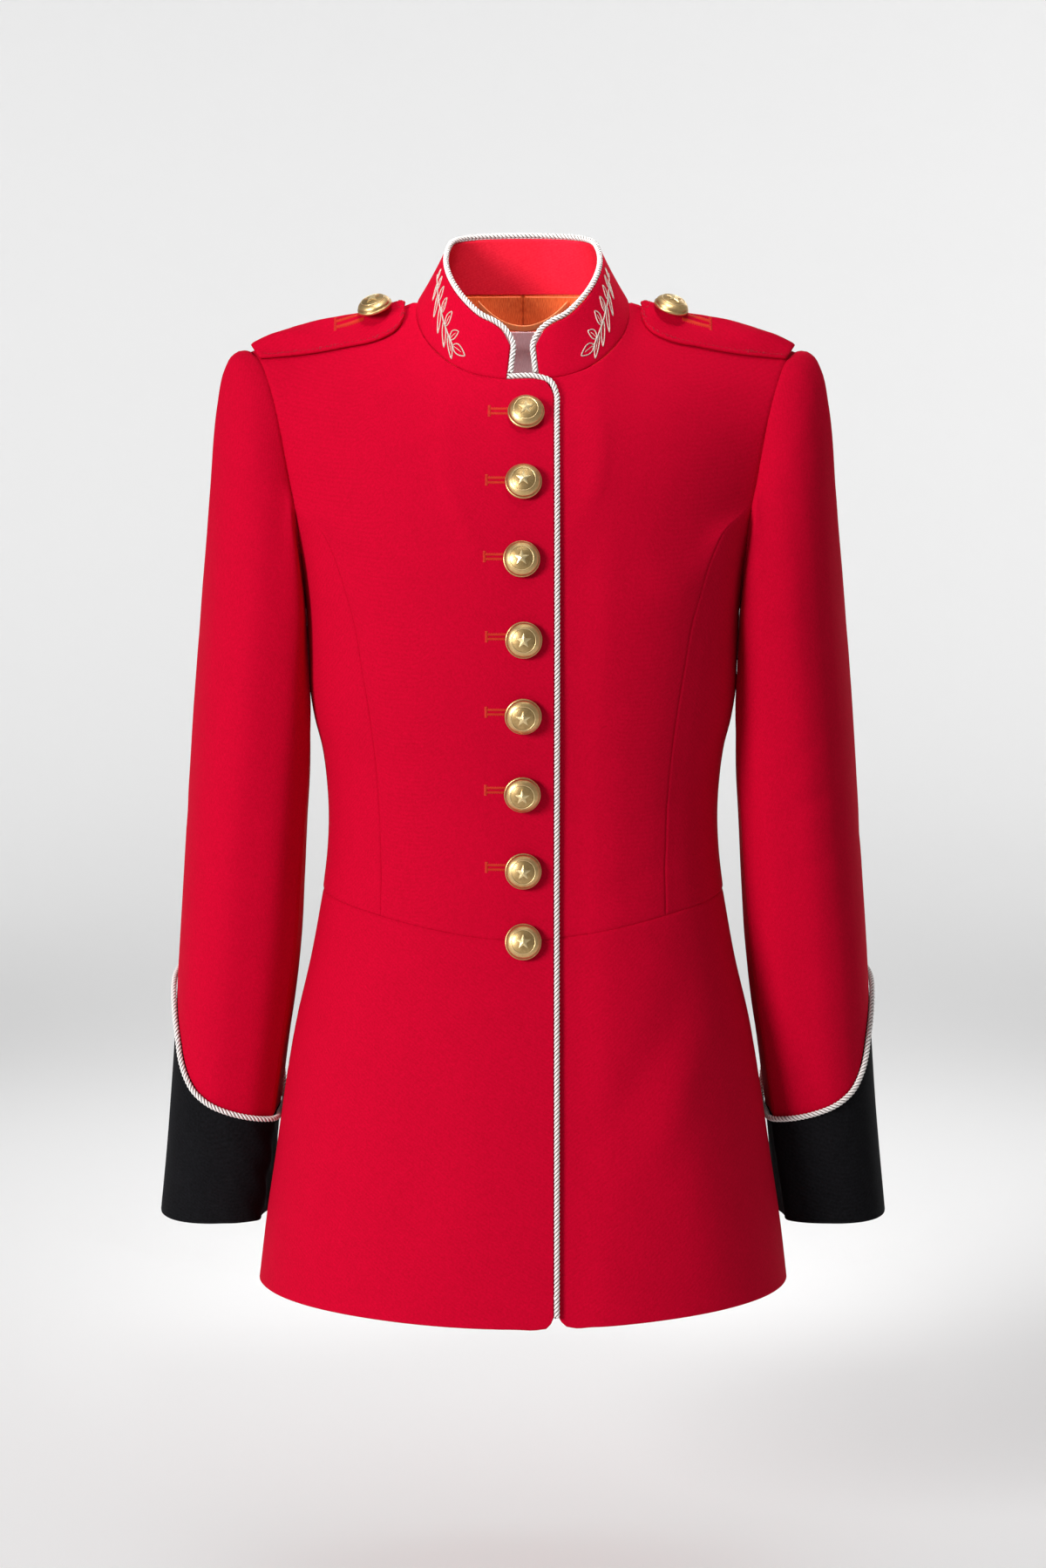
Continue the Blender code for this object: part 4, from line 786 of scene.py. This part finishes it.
# Mercerised thread: darker than the cloth along the edge, and with a little shine in the holes.
red_thread = thread_finish("red sewing silk", "#86001A", "#B00024", 0.7)
hole_thread = thread_finish("orange red buttonhole silk", "#B4200F", "#DC3C20", 0.5)
strap_trees = {}
for side in ("left", "right"):
    strap = Panel(f"strap_{side}", 0.0027, "x", "fsff", step=0.0022, seen_from=(0, 0, 1))
    piece = make_cloth(f"wool_strap_{side}", strap, scarlet_wool)
    tree = strap_trees[side] = BVHTree.FromObject(piece, bpy.context.evaluated_depsgraph_get())
    rim = np.concatenate((strap.points[:0:-1, 0], strap.points[0], strap.points[1:, -1]))
    edge = even_line(rim, 0.0012)
    middle = strap.points.reshape(-1, 3).mean(axis=0)
    line = []
    for number in range(2, len(edge) - 2):
        place, normal = on_cloth(tree, edge[number], (0, 0, 1))
        inwards = unit(np.cross(normal, edge[number + 2] - edge[number - 2]))
        inwards *= 1 if inwards @ (middle - edge[number]) > 0 else -1
        spot = edge[number] + inwards * STITCH_INSET
        if np.linalg.norm(edge - spot, axis=1).min() > STITCH_INSET * 0.93:
            line.append(spot)
    line = even_line(line, STITCH_PITCH)
    stitches = Threads(THREAD_SIDES)
    for start, after in zip(line, line[1:]):
        end = start + unit(after - start) * STITCH_LENGTH
        sew(stitches, tree, start, end, (0, 0, 1), STITCH_RADIUS, lift=0.1)
    stitches.finish(f"strap_topstitching_{side}", red_thread)

# ---------------------------------------------------------------------------- the piping
# White twisted cord, three strands laid together, sewn in along the right front edge, round
# the neckline, the collar and the top of each cuff.
CORD_RADIUS = 0.00175  # of the solids
STRANDS, STRAND_RADIUS, STRAND_OFFSET = 3, 0.00092, 0.00112  # of the cord as drawn, 4.1 mm thick
CORD_LAY, CORD_STEP = 0.0084, 0.0008  # one turn of a strand, and between the points along it
CUFF_CORD_CLOSING = 0.04  # of its first step, where its ends meet in the cuff's seam


def cord_line(node):
    """The middle of a cord, read back from the rings of six points of its solid."""
    mesh = merged(node)
    widest = 2.05 * CORD_RADIUS
    small = [face for face in mesh.faces if max(edge.calc_length() for edge in face.edges) < widest]
    ends = []
    for face in small:
        flat = [face]
        for one in flat:
            for edge in one.edges:
                flat += [f for f in edge.link_faces if f not in flat and f.normal.dot(face.normal) > 0.98]
        corners = {v for f in flat for v in f.verts}
        middle = sum((v.co for v in corners), Vector()) / len(corners)
        off = max(abs((v.co - middle).length - CORD_RADIUS) for v in corners)
        if len(flat) == 4 and len(corners) == 6 and off < 0.06 * CORD_RADIUS:
            ends.append(corners)
    rings, seen = [ends[0]], set(ends[0])
    while True:
        ring = {edge.other_vert(v) for v in rings[-1] for edge in v.link_edges} - seen
        if not ring:
            break
        rings.append(ring)
        seen |= ring
    line = np.array([sum((v.co for v in ring), Vector()) / len(ring) for ring in rings])
    mesh.free()
    return line


# Bleached cotton cord: matt and almost white, with painted shade: darker lines painted where its strands
# meet.
white_cord = thread_finish("white twisted cord", "#DDD5D0", "#FAF6F4", 0.55, laid=STRAND_RADIUS)
for node in ("collar_cord", "front_cord_left", "front_cord_right", "cuff_cord_left", "cuff_cord_right"):
    line = cord_line(node)
    if node.startswith("cuff"):
        line = np.concatenate((line, line[:1] + (line[:1] - line[1:2]) * CUFF_CORD_CLOSING))
    at = lengths(line)
    new = np.linspace(0, at[-1], round(at[-1] / CORD_STEP))
    line = smoothly(line, at, new)
    along = unit(np.gradient(line, axis=0))
    across = [np.cross(along[0], (0.3, 0.5, 0.8))]
    for one in along[1:]:
        across.append(across[-1] - one * (across[-1] @ one))
        across[-1] /= np.linalg.norm(across[-1])
    across = unit(np.array(across))
    other = np.cross(along, across)
    cord = Threads(CORD_SIDES)
    for strand in range(STRANDS):
        turn = (new / CORD_LAY * math.tau + strand * math.tau / STRANDS)[:, None]
        out = across * np.cos(turn) + other * np.sin(turn)
        cord.add(line + out * STRAND_OFFSET, STRAND_RADIUS, out)
    piece = cord.finish(f"twisted_{node}", white_cord)
    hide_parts(node)

# --------------------------------------------------------------------------- the buttons
# Domed shank buttons stamped from sheet brass and closed over a flat back, brushed and
# dulled in the low places. On each dome stands a small plain star inside a ring.
# Profiles are (radius, height) from the shank's foot.
SHANK = ((0.0026, 0.0), (0.0024, 0.0021), (0.0108, 0.0023), (0.0116, 0.0026), (0.0121, 0.0031))
RIM = ((0.01222, 0.0037), (0.0121, 0.0044), (0.0117, 0.0048), (0.0115, 0.0048), (0.0113, 0.0052))
DOME_FOOT, DOME_RADIUS, DOME_RISE, DOME_STEPS, BUTTON_SIDES = 0.0048, 0.0115, 0.0058, 13, 48
STAR_POINTS, STAR_OUTER, STAR_INNER = 5, 0.0056, 0.0024
STAR_RISE, STAR_PEAK, STAR_SUNK = 0.0005, 0.0010, 0.0002
RING_RADIUS, RING_WIRE, RING_SIDES = 0.0080, 0.00034, 8
BUTTON_REACH = 0.0125  # the radius that the finish's dull rings are shares of
DULL_RINGS = (  # share of the radius, how dull: the middle and the rim, then those in between
    (0.0, 1.0), (1.0, 0.0), (0.55, 0.75), (0.60, 1.1), (0.66, 0.8), (0.69, 0.1),
    (0.87, 0.15), (0.905, 1.0), (0.935, 0.9), (0.96, 0.0),
)
GRIME_SIZE, BRUSH_SIZE = 1 / 420, 1 / 5200  # patches of tarnish, and the brushed grain of 0.2 mm


def select_only(piece):
    bpy.ops.object.select_all(action="DESELECT")
    piece.select_set(True)
    bpy.context.view_layer.objects.active = piece


def dome_height(radius):
    return DOME_FOOT + DOME_RISE * math.sqrt(max(0.0, 1 - (radius / DOME_RADIUS) ** 2))


def turned(name, profile, sides):
    """A round form grown from its first circle, ring by ring, and closed at both ends."""
    bpy.ops.object.select_all(action="DESELECT")
    radius, height = profile[0]
    bpy.ops.mesh.primitive_circle_add(
        vertices=sides, radius=radius, location=(0, 0, height), fill_type="NGON"
    )
    made = bpy.context.active_object
    made.name = name
    bpy.ops.object.mode_set(mode="EDIT")
    bpy.ops.mesh.select_all(action="SELECT")
    for (r0, z0), (r1, z1) in zip(profile, profile[1:]):
        bpy.ops.mesh.extrude_region_move(TRANSFORM_OT_translate={"value": (0, 0, z1 - z0)})
        bpy.ops.transform.resize(value=(r1 / r0, r1 / r0, 1), center_override=(0, 0, z1))
    bpy.ops.object.mode_set(mode="OBJECT")
    return made


quarter = [math.radians(90 * n / DOME_STEPS) for n in range(2, DOME_STEPS)]
dome = [(DOME_RADIUS * math.cos(a), DOME_FOOT + DOME_RISE * math.sin(a)) for a in quarter]
button = turned("domed button", SHANK + RIM + tuple(dome), BUTTON_SIDES)
star = turned("star", ((STAR_OUTER, 0.0), (STAR_OUTER * 0.93, STAR_RISE)), 2 * STAR_POINTS)
for vertex in star.data.vertices:
    if round(math.atan2(vertex.co.x, vertex.co.y) / math.pi * STAR_POINTS) % 2:
        vertex.co.xy *= STAR_INNER / STAR_OUTER
    vertex.co.z += dome_height(vertex.co.xy.length) - (STAR_SUNK if vertex.co.z == 0 else 0)
select_only(star)
bpy.ops.object.mode_set(mode="EDIT")
bpy.ops.mesh.select_all(action="DESELECT")
bpy.ops.object.mode_set(mode="OBJECT")
for face in star.data.polygons:
    face.select = len(face.vertices) > 4 and face.normal.z > 0.5
bpy.ops.object.mode_set(mode="EDIT")
bpy.ops.mesh.select_mode(type="FACE")
bpy.ops.mesh.poke(offset=STAR_PEAK)
bpy.ops.object.mode_set(mode="OBJECT")
bpy.ops.mesh.primitive_torus_add(
    major_radius=RING_RADIUS, minor_radius=RING_WIRE, major_segments=BUTTON_SIDES,
    minor_segments=RING_SIDES, location=(0, 0, dome_height(RING_RADIUS)),
)
ring = bpy.context.active_object
bpy.ops.object.transform_apply(location=True)
ring.data.shade_smooth()
button.data.shade_smooth()
for layer in (ring.data.uv_layers, button.data.uv_layers, star.data.uv_layers):
    while layer:
        layer.remove(layer[0])
raised_faces = len(star.data.polygons) + len(ring.data.polygons)
select_only(button)
star.select_set(True)
ring.select_set(True)
bpy.ops.object.join()
layer = button.data.uv_layers.new(name="cut")
for corner in button.data.loops:
    layer.data[corner.index].uv = button.data.vertices[corner.vertex_index].co.xy


def gilt(name, dull, bright, field):
    """Gilt brass, brushed: warm and bright where hands rub it, and browner in the field between
    the star and the ring and in the groove inside the rim. `field` is how dull those are."""
    material, shader = new_material(name, metallic=1.0, roughness=0.36)
    cut = add_node(material, "UVMap", uv_map="cut")
    place = add_node(material, "TexCoord")
    far = add_node(material, "VectorMath", {0: cut}, operation="LENGTH").outputs["Value"]
    out = add_node(material, "Math", {0: far, 1: 1 / BUTTON_REACH}, operation="MULTIPLY")
    rings = [(at, (dulled * field,) * 3 + (1,)) for at, dulled in DULL_RINGS]
    low = add_node(material, "ValToRGB", {0: out}, rings)
    at = {"Vector": place.outputs["Object"]}
    tarnish = {"Scale": 1 / GRIME_SIZE, "Detail": 5.0, "Roughness": 0.65}
    grime = add_node(material, "TexNoise", {**at, **tarnish})
    patches = add_node(material, "Math", {0: grime, 1: 0.5}, operation="SUBTRACT")
    mixed = add_node(material, "Math", {0: low, 1: patches}, operation="ADD")
    tint = add_node(material, "Mix", {0: mixed, 6: colour(bright), 7: colour(dull)}, data_type="RGBA")
    tint.clamp_factor = True
    grain = add_node(material, "TexNoise", {**at, "Scale": 1 / BRUSH_SIZE, "Detail": 2.0})
    cover(material, shader, tint.outputs[2], grain, 0.35, 0.00012)
    link(add_node(material, "MapRange", {0: grime, 1: 0.3, 2: 0.7, 3: 0.30, 4: 0.46}), shader, "Roughness")
    return material


gilt_brass = gilt("brushed gilt brass", "#7A5C30", "#DDBC84", 0.5)
raised_brass = gilt("gilt brass rubbed bright", "#8E6E3C", "#F0D8A4", 0.0)
for finish in (gilt_brass, raised_brass):
    button.data.materials.append(finish)
dome_faces = len(button.data.polygons) - raised_faces
for face in list(button.data.polygons)[dome_faces:]:
    face.material_index = 1
button_feet = {}
facing_of = {f"button_{n}": (0, -1, 0) for n in range(1, 9)}
facing_of |= {f"strap_button_{side}": (0, 0, 1) for side in ("left", "right")}
for node, facing in facing_of.items():
    mesh = merged(node)
    points = np.array([vertex.co for vertex in mesh.verts])
    mesh.free()
    middle = points.mean(axis=0)
    _, ways = np.linalg.eigh(np.cov((points - middle).T))
    axis = ways[:, 0] * np.sign(ways[:, 0] @ np.array(facing))
    foot = middle + axis * ((points - middle) @ axis).min()
    up = unit(np.array((0.0, 0.0, 1.0) if facing[1] else (0.0, 1.0, 0.3)))
    across = unit(np.cross(up, axis))
    turn = Matrix(np.stack((across, np.cross(axis, across), axis), axis=1).tolist()).to_4x4()
    turn.translation = foot
    button_feet[node] = foot
    data = button.data.copy()
    data.transform(turn)
    piece = in_scene(f"domed_{node}", data)
    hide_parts(node)
bpy.data.objects.remove(button)

# ------------------------------------------------------------------------ the buttonholes
# Worked by machine in orange-red silk: a close row of stitches along each lip of the slit and
# a bar across its outer end. The eighth button, at the waist seam, has none.
HOLE_RAISED, HOLE_END, HOLE_REACH = 0.0020, 0.0243, 0.0080  # above the button's middle, and off it
STRAP_HOLE_END, STRAP_HOLE_LENGTH = 0.030, 0.020
LIP_IN, LIP_OUT, HOLE_PITCH, HOLE_THREAD = 0.0006, 0.0024, 0.00062, 0.00030
BAR_HALF, BAR_LENGTH, BAR_STITCHES = 0.0034, 0.0022, 11


def buttonhole(threads, tree, end, way, facing, length):
    """Stitches beside a slit that starts at `end` and runs along `way`."""
    way = unit(np.array(way, float))
    across = unit(np.cross(way, np.array(facing, float)))
    for n in range(round(length / HOLE_PITCH)):
        at = end + way * (BAR_LENGTH * 0.5 + n * HOLE_PITCH)
        for lip in (-1, 1):
            out = across * lip
            uneven = 1 + 0.10 * math.sin(n * 2.4 + lip)
            sew(threads, tree, at + out * LIP_IN, at + out * LIP_OUT * uneven, facing, HOLE_THREAD)
    for share in np.linspace(-1, 1, BAR_STITCHES):
        at, half = end + across * BAR_HALF * share, way * BAR_LENGTH / 2
        sew(threads, tree, at - half, at + half, facing, HOLE_THREAD, lift=0.7)


front_tree = BVHTree.FromObject(red_panels["front_right"].piece, bpy.context.evaluated_depsgraph_get())
holes = Threads(THREAD_SIDES)
for number in range(1, 8):
    foot = button_feet[f"button_{number}"]
    end = np.array((foot[0] - HOLE_END, foot[1], foot[2] + HOLE_RAISED))
    buttonhole(holes, front_tree, end, (1, 0, 0), (0, -1, 0), HOLE_END - HOLE_REACH)
holes.finish("front_buttonholes", hole_thread)
for side, sign in (("left", 1), ("right", -1)):
    holes = Threads(THREAD_SIDES)
    way = np.array((-sign * 0.93, 0.0, 0.30))  # up the strap's slope
    end = button_feet[f"strap_button_{side}"] - way * STRAP_HOLE_END
    buttonhole(holes, strap_trees[side], end, way, (0, 0, 1), STRAP_HOLE_LENGTH)
    holes.finish(f"strap_buttonhole_{side}", hole_thread)

# ------------------------------------------------------------ the embroidery on the collar
# A spray of leaves on each side of the collar, in outline: a laid silver-cream thread round
# each leaf and along the stem. The drawing is in millimetres: back from the collar's front
# end, and down from its top edge.
COLLAR_HEIGHT = 41.0
STEM = ((98, 8.5), (88, 11), (77, 15), (66, 19.5), (56, 24.5), (51, 27.5), (47, 30))
LEAVES = (  # where it leaves the stem, its tip, and half its width: the upper row, then the lower
    (93, 9.5, 95, 2.8, 1.2), (84.5, 12, 85.5, 3.4, 1.7), (76, 15.3, 75.5, 5.4, 2.1),
    (67.5, 18.8, 65.5, 8, 2.3), (59, 23, 54.5, 11.6, 2.5), (47, 30, 34.5, 31.5, 3.3),
    (90, 10.8, 86, 20.5, 1.3), (81, 13.6, 75.5, 26, 1.6), (71.5, 17.2, 65, 31, 1.8),
    (62, 21.5, 55, 35, 2), (53.5, 26, 46, 38.2, 2.2), (51, 27.5, 43.5, 19, 2.4),
)
VEINED = 2.2  # only leaves at least this wide on each side have a vein
LAID_THREAD, STEM_SHARE, VEIN_SHARE, END_SHARE = 0.00040, 1.3, 0.6, 0.55  # its radius, in metres


def on_collar(back, down, side, lift):
    """The place on the collar's outer face, in millimetres from its end and its top edge."""
    ends = collar.away[0 if side == "right" else 1][:, 0] * 1000
    order = np.argsort(ends)
    row = np.interp(back, ends[order], order)
    low = min(int(row), len(ends) - 2)
    tops = (collar.away[2] + collar.away[3])[0]
    column = np.interp(down / COLLAR_HEIGHT, collar.away[2][0] / tops, range(len(tops)))
    left = min(int(column), len(tops) - 2)
    total, facing = np.zeros(3), np.zeros(3)
    for i, a in ((low, 1 - row + low), (low + 1, row - low)):
        for j, b in ((left, 1 - column + left), (left + 1, column - left)):
            total += a * b * (collar.points[i, j] + collar.normals[i, j] * collar.height[i, j])
            facing += a * b * collar.normals[i, j]
    return total + unit(facing) * lift, unit(facing)


# Cream silk wound with a little metal: pale, with small glints along each leaf.
silver_thread = thread_finish("silver cream embroidery thread", "#8C8078", "#E6D7CB", 0.40, metal=0.15)
for side in ("left", "right"):
    spray = Threads(CORD_SIDES)
    drawn = [(np.array(STEM, float), STEM_SHARE)]
    for leaf in LEAVES:
        base, tip, half = np.array(leaf[:2], float), np.array(leaf[2:4], float), leaf[4]
        run = tip - base
        beside = np.array((-run[1], run[0])) / np.linalg.norm(run)
        share = np.linspace(0, 1, 9)[:, None]
        for edge in (-1, 1):
            swell = edge * half * np.sin(np.pi * share**0.8) ** 0.85 + 0.6 * np.sin(np.pi * share)
            drawn.append((base + run * share + beside * swell, 1.0))
        if half >= VEINED:
            share = np.linspace(0.05, 0.68, 6)[:, None]
            drawn.append((base + run * share + beside * 0.6 * np.sin(np.pi * share), VEIN_SHARE))
    for line, share in drawn:
        fine = even_line(np.concatenate((line, np.zeros((len(line), 1))), axis=1), 0.9)
        thick = LAID_THREAD * share
        spots = [on_collar(back, down, side, thick * 0.45) for back, down, _ in fine]
        radii = np.full(len(spots), thick)
        radii[[0, -1]] *= END_SHARE
        spray.add([spot for spot, _ in spots], radii, np.array([facing for _, facing in spots]))
    spray.finish(f"collar_spray_{side}", silver_thread)
